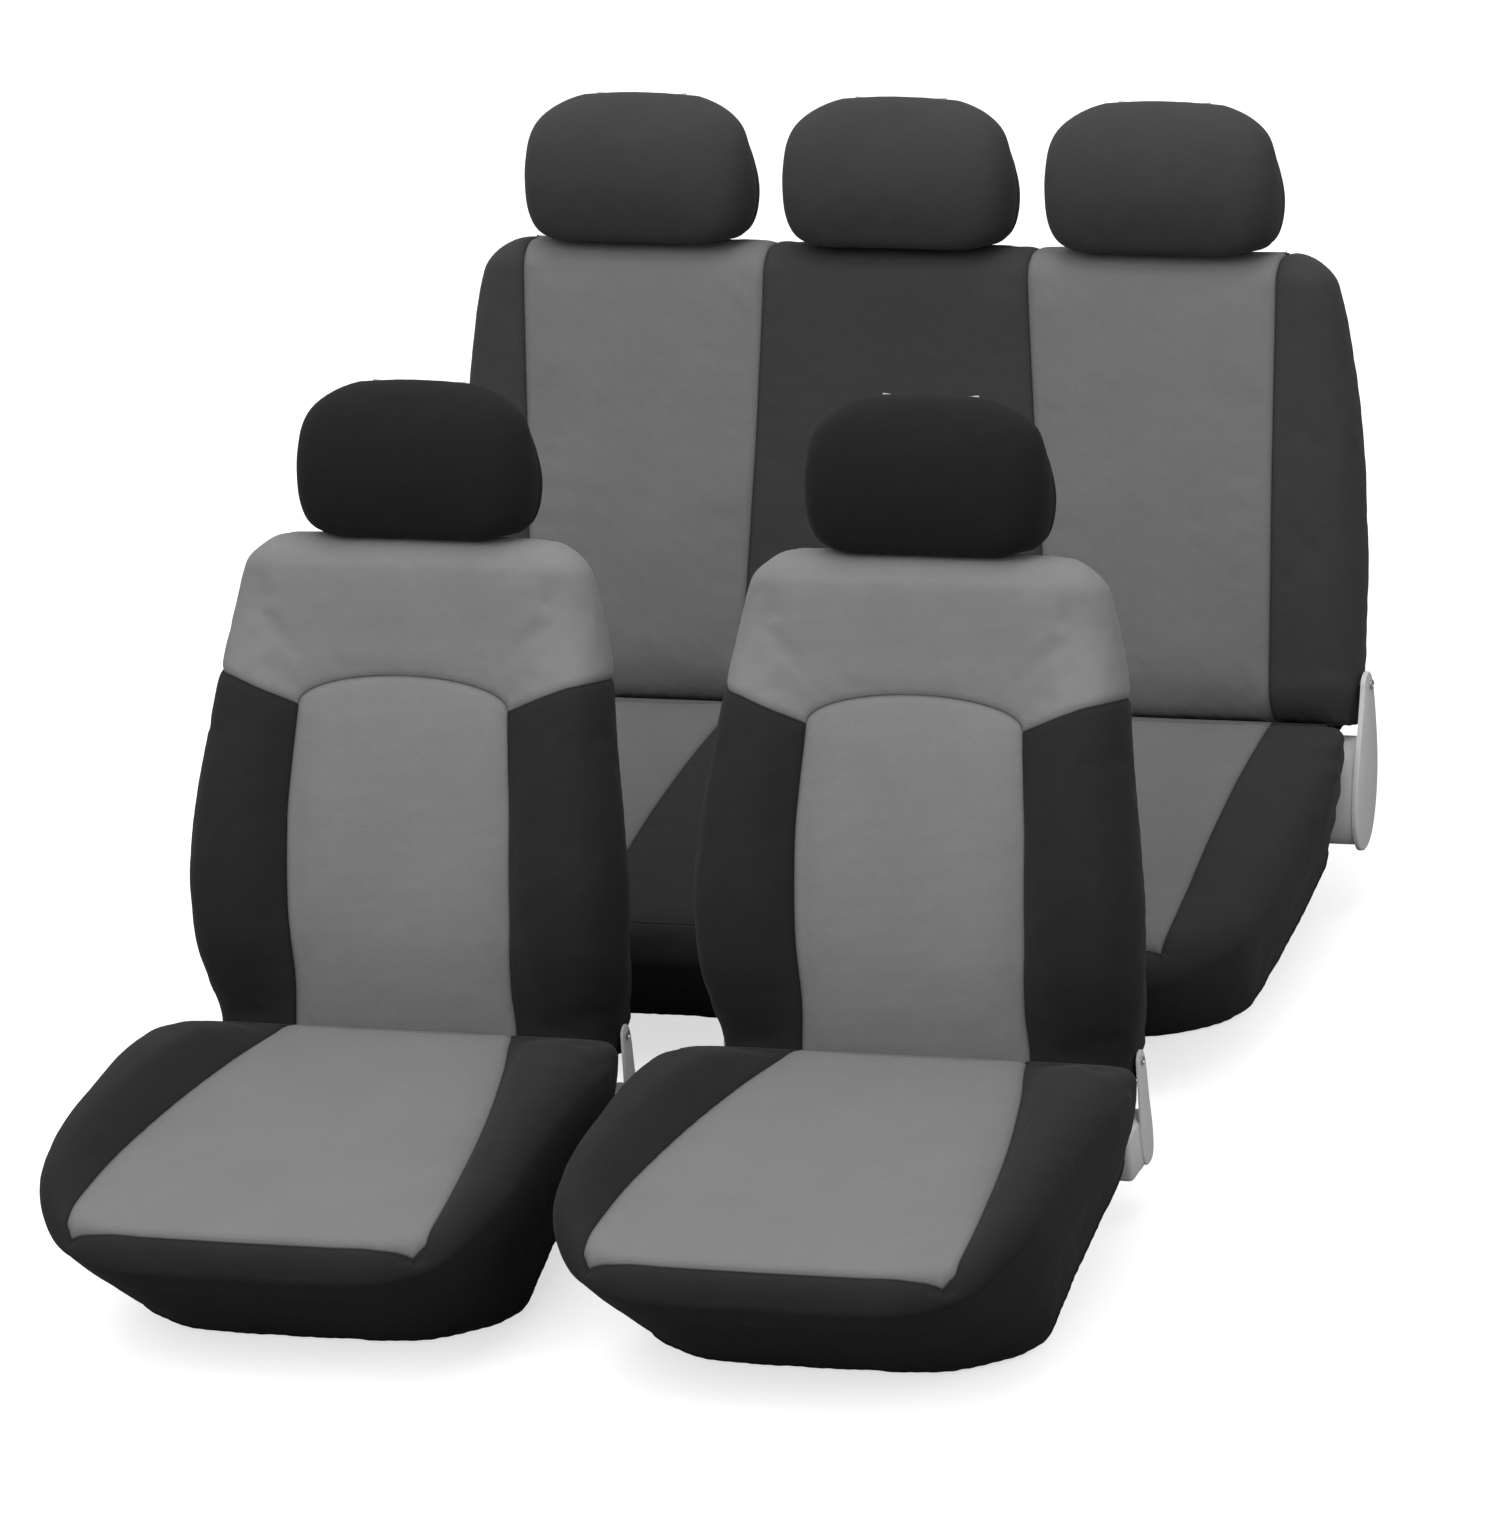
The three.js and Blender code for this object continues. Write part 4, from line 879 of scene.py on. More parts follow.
def plain_piece(P, F, place, name, mat, body, slot, nodes=(), crisp=None):
    o = obj_from(name, place(P), F, mat)
    bm = bmesh.new()
    bm.from_mesh(o.data)
    bmesh.ops.remove_doubles(bm, verts=bm.verts, dist=0.05 * MM)
    bmesh.ops.recalc_face_normals(bm, faces=bm.faces)
    if crisp is not None:
        for e in bm.edges:
            if len(e.link_faces) == 2 and e.calc_face_angle(0) > math.radians(crisp):
                e.smooth = False
    bm.to_mesh(o.data)
    bm.free()
    o.data.polygons.foreach_set("use_smooth", [True] * len(o.data.polygons))
    return finish_piece(o, body, slot, *nodes)


def form_mesh(P, depth, seed, seams=None):
    """A closed, slightly uneven upholstered body, depth millimetres under the cover's face."""
    n = grid_normals(P)
    Q = P - n * depth
    Q = Q + n * (0.35 * lumps(P, 70, seed))[..., None]
    if seams is not None:
        Q = Q - n * (1.8 * np.exp(-(seams / 3.5) ** 2))[..., None]
    R, N = P.shape[:2]
    V = Q.reshape(-1, 3)
    F = [tuple(f) for f in grid_faces(R, N)]
    top, end = len(V), len(V) + 1
    V = np.concatenate([V, [Q[0].mean(0)], [Q[-1].mean(0)]])
    F += [(k, top, (k + 1) % N) for k in range(N)]
    F += [((R - 1) * N + (k + 1) % N, end, (R - 1) * N + k) for k in range(N)]
    return V, F


def tuck_flap(x0, x1, path, seed, thick=2.0):
    """Cloth pushed down through the crease behind a cushion: a strip across the seat that follows path (y, z)."""
    path = np.array(path, float)
    nx = max(4, int((x1 - x0) / 14))
    xs = np.linspace(x0, x1, nx)
    t = np.gradient(path, axis=0)
    t /= np.linalg.norm(t, axis=1, keepdims=True)
    nrm = np.stack([t[:, 1], -t[:, 0]], 1)
    m = len(path)
    P = []
    for side in (0, 1):
        for a in xs:
            for j in range(m):
                w = 0.5 * math.sin(a / 23 + j * 0.7 + seed) * (j / m)
                y, z = path[j] + nrm[j] * (w - thick * side)
                P.append((a, y, z))
    F = []
    for side in (0, 1):
        o = side * nx * m
        for i in range(nx - 1):
            for j in range(m - 1):
                q = (o + i * m + j, o + (i + 1) * m + j, o + (i + 1) * m + j + 1, o + i * m + j + 1)
                F.append(q if side == 0 else q[::-1])
    o = nx * m
    for i in range(nx - 1):
        for j in (0, m - 1):
            F.append((i * m + j, (i + 1) * m + j, o + (i + 1) * m + j, o + i * m + j))
    for j in range(m - 1):
        for i in (0, nx - 1):
            F.append((i * m + j, i * m + j + 1, o + i * m + j + 1, o + i * m + j))
    return np.array(P), F


def arc_path(start, cy, cz, r, a0, a1, n=12):
    return list(start) + [(cy - r * math.cos(a), cz - r * math.sin(a)) for a in np.radians(np.linspace(a0, a1, n))]


FLAP_F = arc_path([(-16, 0), (-11, 3), (-6.5, 2)], 56.1, -21.2, 63.5, -14, 42)
FLAP_R = arc_path([(8, 0), (11, 3.5), (14.5, 4)], 71.5, 35.7, 61.0, 34, 104)


def hem_rims(S, label, lift=0.0):
    """Runs of the last ring's points that belong to one panel, as open or closed paths."""
    ids = (S.R - 1) * S.N + np.arange(S.N)
    ok = label(ids)
    pts = S.P[ids] + S.n[ids] * lift
    if ok.all():
        return [(pts, True)]
    if not ok.any():
        return []
    first = int(np.nonzero(ok & ~np.roll(ok, 1))[0][0])
    runs, cur = [], []
    for j in range(S.N):
        i = (first + j) % S.N
        if ok[i]:
            cur.append(pts[i])
        elif cur:
            runs.append(cur)
            cur = []
    if cur:
        runs.append(cur)
    return [(np.array(r), False) for r in runs if len(r) > 3]


# ------------------------------------------------------------------ front backrest
def n_for(length):
    return max(3, int(round(length / STEP)))


LAY_FB = Layout(n_for(215), n_for(66), max(4, n_for(36)), n_for(60), n_for(205))
P_FB = back_sheet(FRONT_BACK, LAY_FB, STEP, -22)


def fb_fields(P):
    x, y, s = P[..., 0], P[..., 1], P[..., 2]
    rear = y - (curve(FRONT_BACK_D, s) - curve(FRONT_LUMBAR, s) - 27)
    ss = np.linspace(-60, 330, 40)
    side = curve(FRONT_PANEL_W, ss)
    th = np.linspace(0, PI, 48)
    bridge = np.linspace(330, 388, 7)[1:]
    right = np.concatenate([np.stack([side, ss], 1), np.stack([curve(FRONT_PANEL_W, bridge), bridge], 1)])
    arc = np.stack([135 * np.cos(th), 388 + 37 * np.sin(th)], 1)
    left = right[::-1] * [-1, 1]
    centre = dist_polyline(x, s, np.concatenate([right, arc[1:-1], left]), True)
    centre = np.where(y > curve(FRONT_BACK_D, s) * 0.45, np.maximum(centre, 60), centre)
    line = [(-400, 428), (-250, 426), (-215, 419), (-180, 406), (-135, 387), (135, 387), (180, 406), (215, 419), (250, 426), (400, 428)]
    t = np.array(line, float)
    yoke = (s - np.interp(x, t[:, 0], t[:, 1])) * 0.95
    return dict(rear=rear, centre=centre, yoke=yoke)


def fb_dist(F):
    yk = np.where((F["centre"] > 0) & (F["rear"] < 0), np.abs(F["yoke"]), 60)
    ct = np.where(F["rear"] < 0, np.abs(F["centre"]), 60)
    return np.minimum(np.minimum(np.abs(F["rear"]), ct), yk)


def pin_near(dist, hem, width=9.0):
    def weights(P):
        w = np.zeros(len(P))
        w[dist(P) < width] = 1.0
        w[hem(P)] = 1.0
        return w
    return weights


puff_fb = swell("front_back", P_FB, pin_near(lambda P: fb_dist(fb_fields(P)), lambda P: P[:, 2] < -10), 9.0, 3.0, 5.0)
S_FB = seam_lines(make_sheet(P_FB, fb_fields(P_FB), puff_fb), ["rear", "centre", "yoke"])
x, y, s = S_FB.P.T
# pulled creases where the side of the cover runs under the cushion, and a soft hollow down each bolster's side
pull = 1.3 * np.sin(s / 6.5 + 0.02 * x + 1.5 * lumps(S_FB.P, 80, 61)) * np.exp(-((s - 18) / 30) ** 2) * smooth(150, 235, np.abs(x)) * smooth(10, 60, y)
pull = pull + 0.5 * np.sin((s - 0.35 * (np.abs(x) - 143)) / 8.0 + 1.3 * lumps(S_FB.P, 90, 62)) * np.exp(-((s - 30) / 38) ** 2) * smooth(143, 190, np.abs(x)) * (1 - smooth(20, 60, y))
dress(S_FB, fb_dist(S_FB.fields), np.maximum(s + 22, 0), 11, extra=pull, waves=70, gather=1.3)
# painted shade: the front of the backrest grows darker over its lowest 150 mm, towards the crease with the cushion
S_FB.shade = np.clip(S_FB.shade + 0.24 * (1 - smooth(0, 150, s)) * (1 - smooth(40, 70, y)), 0, 0.95)



def front_back_pieces(side, p):
    seat, lean = at_front(side)
    b = f"front_{p}_back"
    f = f"front_{p}_back_"
    piece(S_FB, lambda m, c: (m["rear"] <= 0) & (m["centre"] <= 0), lean, f + "centre_panel_sewn", GREY_F, b, "knit_grey", [f + "centre_panel"])
    piece(S_FB, lambda m, c: (m["rear"] <= 0) & (m["centre"] > 0) & (m["yoke"] > 0), lean, f + "yoke_sewn", GREY_F, b, "knit_grey", [f + "yoke"])
    for q, sg in (("left", -1), ("right", 1)):
        rims = hem_rims(S_FB, lambda ids: (S_FB.fields["rear"][ids] < 0) & (sg * S_FB.P[ids, 0] > 120))
        piece(S_FB, lambda m, c: (m["rear"] <= 0) & (m["centre"] > 0) & (m["yoke"] <= 0) & (c[:, 0] * sg > 0), lean, f + f"bolster_{q}_sewn", BLACK_F, b, "knit_black", [f + f"bolster_{q}"], rims=rims)
    rims = hem_rims(S_FB, lambda ids: S_FB.fields["rear"][ids] > 0)
    piece(S_FB, lambda m, c: m["rear"] > 0, lean, f + "rear_panel_sewn", BLACK_F, b, "knit_black", [f + "rear_panel"], rims=rims)
    plain_piece(*TUCK_FB_MESH, lean, f + "tuck_sewn", BLACK_F, b, "knit_black")
    plain_piece(*FORM_FB_MESH, lean, f + "form_upholstered", PALE, b, "seat_form", [f + "form"])


def shrink_rows(k, lay, step, hem, tail):
    """The cover's rings, continued below the hem to where the padded form ends."""
    P = back_sheet(k, lay, step, hem)
    T = back_rings(k, lay, np.array([a for a, _ in tail], float), np.array([b for _, b in tail], float))
    return np.concatenate([P, T])


LAY_FORM = Layout(n_for(110), n_for(33), 4, n_for(33), n_for(100))
FORM_ROWS = shrink_rows(FRONT_BACK, LAY_FORM, STEP * 1.6, -22, [(-30, 0), (-38, 0), (-44, 3), (-49, 8), (-52, 16)])
FORM_FB_MESH = form_mesh(FORM_ROWS, 8.6, 3)
# the cover's tuck: black cloth drawn round the foot of the backrest, seen only when the seat is laid back
TUCK_FB_MESH = form_mesh(FORM_ROWS[np.nonzero(FORM_ROWS[:, 0, 2] < -6)[0]], 5.9, 3)

# ------------------------------------------------------------------ front cushion
LAY_FC = Layout(n_for(150), n_for(220), n_for(380), n_for(40), n_for(240))
P_FC = round_hem(cushion_sheet(FRONT_CUSHION, LAY_FC, STEP), max(8, int(165 / STEP)), 38 / STEP)


def fc_fields(P):
    x, f, z = P[..., 0], -P[..., 1], P[..., 2]
    ff = np.linspace(-40, 505, 56)
    right = np.stack([curve(CUSHION_PANEL_W, ff), ff], 1)
    front = np.array([(222, 514), (218, 521), (180, 526), (120, 528), (0, 528.5), (-120, 528), (-180, 526), (-218, 521), (-222, 514)], float)
    centre = dist_polyline(x, f, np.concatenate([right, front, right[::-1] * [-1, 1]]), True)
    centre = np.where(z < -26, np.maximum(centre, 40), centre)
    return dict(centre=centre, z=z)


puff_fc = swell("front_cushion", P_FC, pin_near(lambda P: np.abs(fc_fields(P)["centre"]), lambda P: P[:, 2] < -80), 10.0, 3.0, 6.0)
S_FC = seam_lines(make_sheet(P_FC, fc_fields(P_FC), puff_fc), ["centre"])
x, y, s = S_FC.P.T
hem_fc = np.maximum(s - curve(CUSHION_HEM, -y + 156 * smooth(200, 550, -y) * 0.9), 0)
ring_from_hem = (S_FC.R - 1 - S_FC.fields["ring"]) * (150 / max(8, int(165 / STEP)))
drape = 0.45 * np.sin(S_FC.fields["turn"] / S_FC.N * 2 * PI * 23 + 2.2 * lumps(S_FC.P, 150, 31)) * np.exp(-ring_from_hem / 55) * smooth(60, 250, -y)
dress(S_FC, np.abs(S_FC.fields["centre"]), ring_from_hem, 21, extra=drape, waves=96, gather=0.35)
LAY_FCF = Layout(n_for(90), n_for(130), n_for(220), n_for(30), n_for(140))
FORM_FC_MESH = form_mesh(cushion_sheet(FRONT_CUSHION, LAY_FCF, STEP * 1.7), 10.0, 4)


def front_cushion_pieces(side, p):
    seat, lean = at_front(side)
    b, f = f"front_{p}_base", f"front_{p}_"
    piece(S_FC, lambda m, c: m["centre"] <= 0, seat, f + "cushion_centre_panel_sewn", GREY_C, b, "knit_grey", [f + "cushion_centre_panel"], parts=[tuck_flap(-142, 142, FLAP_F, 1)])
    piece(S_FC, lambda m, c: m["centre"] > 0, seat, f + "cushion_surround_sewn", BLACK_F, b, "knit_black", [f + "cushion_surround"], rims=hem_rims(S_FC, lambda ids: np.ones(len(ids), bool)), parts=[tuck_flap(a, c, FLAP_F, 1) for a, c in ((-226, -142.5), (142.5, 226))])
    plain_piece(*FORM_FC_MESH, seat, f + "cushion_form_upholstered", PALE, b, "seat_form", [f + "cushion_form"])
    z0 = -FRONT_CREASE_Z
    parts = [rounded_box((-185, -292, z0), (185, 20, -92), 9), rounded_box((-257.6, 16, -150), (257.6, 66, -106), 6)]
    for sx in (-1, 1):  # shells beside the hinges, and rails' feet
        parts.append(rounded_box(*sorted_box((sx * 232, -9, -150), (sx * 257.4, 66, -88)), 7))
        parts.append(rounded_box(*sorted_box((sx * 120, -285, z0), (sx * 176, 14, z0 + 16)), 4))
    P, F = join_parts(parts)
    plain_piece(P, F, seat, f + "pedestal", BASE, b, "seat_form", crisp=40)


def sorted_box(a, b):
    a, b = np.array(a, float), np.array(b, float)
    return np.minimum(a, b), np.maximum(a, b)


# ------------------------------------------------------------------ headrests
LAY_H = Layout(n_for(100), n_for(70), 3, n_for(66), n_for(100))
P_H = flat_crown(relax(head_sheet(LAY_H, STEP), 14))


def h_fields(P):
    x, y, s = P[..., 0], P[..., 1], P[..., 2]
    w, h = curve(HEAD_W, s), curve(HEAD_H, s)
    yy = (y - curve(HEAD_F, s) - h)
    return dict(seam=yy - h * 0.30)


puff_h = swell("headrest", P_H, pin_near(lambda P: np.abs(h_fields(P)["seam"]), lambda P: P[:, 2] < 6, 5.0), 7.0, 3.5, 4.0)
S_H = seam_lines(make_sheet(P_H, h_fields(P_H), puff_h), ["seam"])
S_H_ring = (S_H.R - 1 - S_H.fields["ring"]) * 2.4
dress(S_H, np.abs(S_H.fields["seam"]), S_H_ring, 41, valley=1.0, gather=0.5, lump=0.5, waves=40)
# painted shade: the headrest covers grow darker towards the bottom, with the seam shade eased to seven tenths
S_H.shade = np.clip(S_H.shade * 0.7 + 0.34 * (1 - smooth(0, 120, S_H.P[:, 2])), 0, 0.95)
FORM_H_MESH = form_mesh(relax(head_sheet(Layout(n_for(60), n_for(40), 3, n_for(40), n_for(60)), STEP * 1.5), 6), 6.4, 5)


def headrest_pieces(cx, place_lean, top, shift, name, body, mat):
    def place(P):
        return place_lean(np.asarray(P, float) + [cx, shift, top + 1.9])
    place.vec = place_lean.vec
    piece(S_H, lambda m, c: np.ones(len(c), bool), place, name + "_cover_sewn", mat, body, "knit_black", [name + "_cover"], rims=hem_rims(S_H, lambda ids: np.ones(len(ids), bool)), rim_r=1.5)
    V, F = FORM_H_MESH
    plain_piece(V, F, place, name + "_core_padded", PALE, body, "seat_form", [name + "_core"])
    path = [(POST_X, POST_Y, -190), (POST_X, POST_Y, -120), (POST_X, POST_Y, -50), (POST_X, POST_Y, 20), (POST_X, POST_Y, 72)]
    path += [(POST_X - 20 * (1 - math.cos(a)), POST_Y, 72 + 20 * math.sin(a)) for a in np.radians(np.linspace(12, 90, 7))]
    path += [(-px, py, pz) for px, py, pz in path[::-1]]
    P, F = sweep(path, POST_R, 28)
    plain_piece(P, F, place, name + "_posts_steel", STEEL, body, "steel", [name + "_posts"], crisp=50)


# ------------------------------------------------------------------ rear backrest
LAY_RB = Layout(n_for(550), n_for(66), max(4, n_for(30)), n_for(60), n_for(550))
P_RB = back_sheet(REAR_BACK, LAY_RB, STEP * 1.15, 8)


def rb_fields(P):
    x, y, s = P[..., 0], P[..., 1], P[..., 2]
    inn, out = np.abs(x) - curve(REAR_SEAM_IN, s), np.abs(x) - curve(REAR_SEAM_OUT, s)
    # the open back: a rounded rectangle, rim radius 40 at its upper corners
    qx, qs = np.abs(x) - (512 - 45), s - (500 - 45)
    hole = np.hypot(np.maximum(qx, 0), np.maximum(qs, 0)) + np.minimum(np.maximum(qx, qs), 0) - 45
    hole = np.where(y > curve(REAR_BACK_D, s) * 0.62, hole, np.maximum(hole, 40))
    return dict(inn=inn, out=out, hole=hole)


def rb_dist(F):
    return np.minimum(np.abs(F["inn"]), np.abs(F["out"]))


puff_rb = swell("rear_back", P_RB, pin_near(lambda P: rb_dist(rb_fields(P)), lambda P: (P[:, 2] < 34) | (P[:, 1] > 84), 12.0), 14.0, 3.0, 6.0)
S_RB = seam_lines(make_sheet(P_RB, rb_fields(P_RB), puff_rb), ["inn", "out"])
for v in (0.0, 3.0, 8.0, 14.0):
    refine(S_RB, "hole", v)
x, y, s = S_RB.P.T
rb_hem = np.minimum(np.maximum(s - 8, 0), np.where(S_RB.fields["hole"] > -0.5, np.maximum(S_RB.fields["hole"], 0), 200))
dress(S_RB, rb_dist(S_RB.fields), rb_hem, 51, waves=120, gather=1.2, extra=0.9 * np.sin(s / 7.5 + 1.4 * lumps(S_RB.P, 80, 71)) * np.exp(-((s - 45) / 34) ** 2) * smooth(500, 590, np.abs(x)))


def hole_rim(lo, hi, sg):
    """The rolled elastic edge of the open back, between two x positions on one side."""
    pts = []
    for a in np.linspace(30, 455, 60):
        pts.append((512.0, a))
    for a in np.radians(np.linspace(0, 90, 14)):
        pts.append((467 + 45 * math.cos(a), 455 + 45 * math.sin(a)))
    for a in np.linspace(467, 0, 90)[1:]:
        pts.append((a, 500.0))
    pts = np.array(pts)
    pts = np.array([q for q in pts if lo <= q[0] <= hi])
    if len(pts) < 3:
        return []
    h = curve(REAR_BACK_D, pts[:, 1])
    out = np.stack([pts[:, 0] * sg, h - 1.2, pts[:, 1]], 1)
    return [(out, False)]


def rear_back_pieces():
    b, f = "rear_back", "rear_back_"
    L = REAR_LEAN
    mid = hole_rim(0, 182, 1)[0][0]
    whole = [(np.concatenate([mid, (mid[::-1] * [-1, 1, 1])[1:]]), False)]
    piece(S_RB, lambda m, c: (m["hole"] > 0) & (m["inn"] <= 0), L, f + "centre_panel_sewn", BLACK_R, b, "knit_black", [f + "centre_panel"], rims=whole)
    for q, sg in (("left", -1), ("right", 1)):
        piece(S_RB, lambda m, c: (m["hole"] > 0) & (m["inn"] > 0) & (m["out"] <= 0) & (c[:, 0] * sg > 0), L, f + f"panel_{q}_sewn", GREY_R, b, "knit_grey", [f + f"panel_{q}"], rims=hole_rim(182, 497, sg))
        piece(S_RB, lambda m, c: (m["hole"] > 0) & (m["out"] > 0) & (c[:, 0] * sg > 0), L, f + f"side_{q}_sewn", BLACK_R, b, "knit_black", [f + f"side_{q}"], rims=hole_rim(497, 600, sg))
    P = shrink_rows(REAR_BACK, LAY_RBF, STEP * 2, 22, [(17, 1), (13, 5), (10, 12)])
    xs, ys, ss = P[..., 0], P[..., 1], P[..., 2]
    grooves = np.minimum(np.abs(np.abs(xs) - 180), np.abs(np.abs(xs) - 470))
    plain_piece(*form_mesh(P, 5.9, 6, grooves), L, f + "form_upholstered", PALE, b, "seat_form", [f + "form"])


LAY_RBF = Layout(n_for(330), n_for(33), 4, n_for(33), n_for(330))

# ------------------------------------------------------------------ rear bench
LAY_RC = Layout(n_for(460), n_for(200), n_for(350), n_for(40), n_for(560))
P_RC = round_hem(cushion_sheet(REAR_CUSHION, LAY_RC, STEP * 1.15), max(8, int(165 / (STEP * 1.15))), 34 / STEP)


def rc_fields(P):
    x, f, z = P[..., 0], -P[..., 1], P[..., 2]
    inn, out = np.abs(x) - curve(BENCH_SEAM_IN, f), np.abs(x) - curve(BENCH_SEAM_OUT, f)
    end = np.where(z > -90, f - 490, 60)
    return dict(inn=inn, out=out, end=end)


def rc_dist(F):
    a = np.where(F["end"] < 0, np.minimum(np.abs(F["inn"]), np.abs(F["out"])), 60)
    return np.minimum(a, np.where((F["out"] < 0) & (F["inn"] > 0), np.abs(F["end"]), 60))


puff_rc = swell("bench", P_RC, pin_near(lambda P: rc_dist(rc_fields(P)), lambda P: P[:, 2] < -110, 12.0), 14.0, 3.0, 6.0)
S_RC = seam_lines(make_sheet(P_RC, rc_fields(P_RC), puff_rc), ["inn", "out", "end"])
ring_rc = (S_RC.R - 1 - S_RC.fields["ring"]) * (150 / max(8, int(165 / (STEP * 1.15))))
x, y, s = S_RC.P.T
tug = 1.4 * np.sin(s / 6.0 + 0.03 * y + 1.6 * lumps(S_RC.P, 70, 81)) * smooth(560, 590, np.abs(x)) * np.exp(-((y + 40) / 60) ** 2)
drape = 0.45 * np.sin(S_RC.fields["turn"] / S_RC.N * 2 * PI * 37 + 2.2 * lumps(S_RC.P, 160, 83)) * np.exp(-ring_rc / 55)
dress(S_RC, rc_dist(S_RC.fields), ring_rc, 91, extra=tug + drape, waves=150, gather=0.35)


def bench_pieces():
    b, f, L = "rear_base", "rear_bench_", REAR_SEAT
    panel = lambda m: (m["out"] < 0) & (m["end"] < 0)
    piece(S_RC, lambda m, c: panel(m) & (m["inn"] <= 0), L, f + "centre_panel_sewn", BLACK_B, b, "knit_black", [f + "centre_panel"], parts=[tuck_flap(-212.5, 212.5, FLAP_R, 2)])
    for q, sg in (("left", -1), ("right", 1)):
        a, c = sorted((sg * 213, sg * 490))
        piece(S_RC, lambda m, c: panel(m) & (m["inn"] > 0) & (c[:, 0] * sg > 0), L, f + f"panel_{q}_sewn", GREY_B, b, "knit_grey", [f + f"panel_{q}"], parts=[tuck_flap(a, c, FLAP_R, 2)])
    piece(S_RC, lambda m, c: ~panel(m), L, f + "surround_sewn", BLACK_B, b, "knit_black", [f + "surround"], rims=hem_rims(S_RC, lambda ids: np.ones(len(ids), bool)), parts=[tuck_flap(a, c, FLAP_R, 2) for a, c in ((-560, -490.5), (490.5, 560))])
    lay = Layout(n_for(280), n_for(120), n_for(200), n_for(30), n_for(330))
    plain_piece(*form_mesh(cushion_sheet(REAR_CUSHION, lay, STEP * 1.9), 5.9, 7), L, f + "form_upholstered", PALE, b, "seat_form", [f + "form"])
    z0 = -REAR_CREASE_Z
    parts = [rounded_box((-545, -60, -128), (545, 30, -42), 8), rounded_box((-480, -365, z0), (480, 30, -120), 10), rounded_box((-590, 22, -102), (590, 70, -52), 6)]
    outline = [(72, -36), (62, -78), (40, -114), (14, -140), (-12, -145), (-32, -130), (-32, -98), (-12, -58), (18, -30), (50, -24)]
    for sx in (-1, 1):  # shells filling in beside the hinges, under the shields
        parts.append(plate_mesh(sx * 560, sx * 597.2, outline, 0.4))
    P, F = join_parts(parts)
    plain_piece(P, F, L, f + "pedestal", BASE, b, "seat_form", crisp=40)


# ------------------------------------------------------------------ hinge plates, rods, straps and clips
def plate_mesh(x0, x1, outline, dome=2.4):
    """A moulded side shield: a rounded outline in (y, z), thick and gently domed on its outer face."""
    pts = np.array(outline, float)
    for _ in range(3):  # round the corners
        q = np.roll(pts, -1, axis=0)
        pts = np.stack([pts * 0.75 + q * 0.25, pts * 0.25 + q * 0.75], 1).reshape(-1, 2)
    c = pts.mean(0)
    m = len(pts)
    out = 1 if abs(x1) > abs(x0) else -1
    xi, xo = (x0, x1) if out > 0 else (x1, x0)
    rings = [(xi, 1.0, 0)]
    t = abs(xo - xi)
    sg = 1 if xo > xi else -1
    for k in range(5):
        an = k / 4 * PI / 2
        rings.append((xo - sg * 1.8 * (1 - math.sin(an)), 1 - 0.035 * (1 - math.cos(an)), 0))
    for k in (0.85, 0.65, 0.4, 0.15):
        rings.append((xo + sg * dome * (1 - k ** 2), k, 0))
    P = [(x, *(c + (p - c) * sc)) for x, sc, _ in rings for p in pts]
    F = [(i * m + j, i * m + (j + 1) % m, (i + 1) * m + (j + 1) % m, (i + 1) * m + j) for i in range(len(rings) - 1) for j in range(m)]
    F.append(tuple(range(m))[::-1])
    F.append(tuple((len(rings) - 1) * m + j for j in range(m)))
    return np.array(P, float), F


def lathe_x(profile, sides=48):
    """Points (x, radius) turned about the X axis."""
    P, F = [], []
    for px, pr in profile:
        for j in range(sides):
            a = 2 * PI * j / sides
            P.append((px, pr * math.cos(a), pr * math.sin(a)))
    for i in range(len(profile) - 1):
        for j in range(sides):
            k = (j + 1) % sides
            F.append((i * sides + j, i * sides + k, (i + 1) * sides + k, (i + 1) * sides + j))
    F.append(tuple(range(sides))[::-1])
    F.append(tuple((len(profile) - 1) * sides + j for j in range(sides)))
    return np.array(P, float), F


def rod_mesh(half, head, r_head, r=9.0):
    """A pin with a low domed head at each end."""
    end = [(half, r), (half, r_head - 0.6), (half + 0.6, r_head), (head - 1.0, r_head), (head - 0.3, r_head - 0.9), (head, r_head - 2.4), (head, 3.4), (head - 1.2, 3.0), (head - 1.2, 0.3)]
    return lathe_x([(-a, c) for a, c in end[::-1]] + end)


def clip_mesh(cx, cy, cz, wx, wy, wz):
    """A side-release clip lying flat: body, two prongs in side windows, a cross bar at each end. Width along x."""
    hx, hy, hz = wx / 2, wy / 2, wz / 2
    parts = [rounded_box((cx - hx * 0.30, cy - hy * 0.82, cz - hz), (cx + hx * 0.62, cy + hy * 0.82, cz + hz), min(1.3, hz * 0.8))]
    parts.append(rounded_box((cx + hx * 0.74, cy - hy, cz - hz * 0.9), (cx + hx, cy + hy, cz + hz * 0.9), min(1.1, hz * 0.7)))
    parts.append(rounded_box((cx - hx, cy - hy, cz - hz * 0.9), (cx - hx * 0.74, cy + hy, cz + hz * 0.9), min(1.1, hz * 0.7)))
    for q in (-1, 1):
        a, c = sorted_box((cx + hx * 0.5, cy + q * hy * 0.78, cz - hz * 0.8), (cx + hx * 0.9, cy + q * hy, cz + hz * 0.8))
        parts.append(rounded_box(a, c, 0.5))
        a, c = sorted_box((cx - hx * 0.9, cy + q * hy * 0.74, cz - hz * 0.8), (cx - hx * 0.1, cy + q * hy * 0.98, cz + hz * 0.8))
        parts.append(rounded_box(a, c, 0.5))
    parts.append(rounded_box((cx - hx * 0.80, cy - hy * 0.16, cz - hz * 0.6), (cx - hx * 0.2, cy + hy * 0.16, cz + hz * 0.6), 0.5))
    return join_parts(parts)


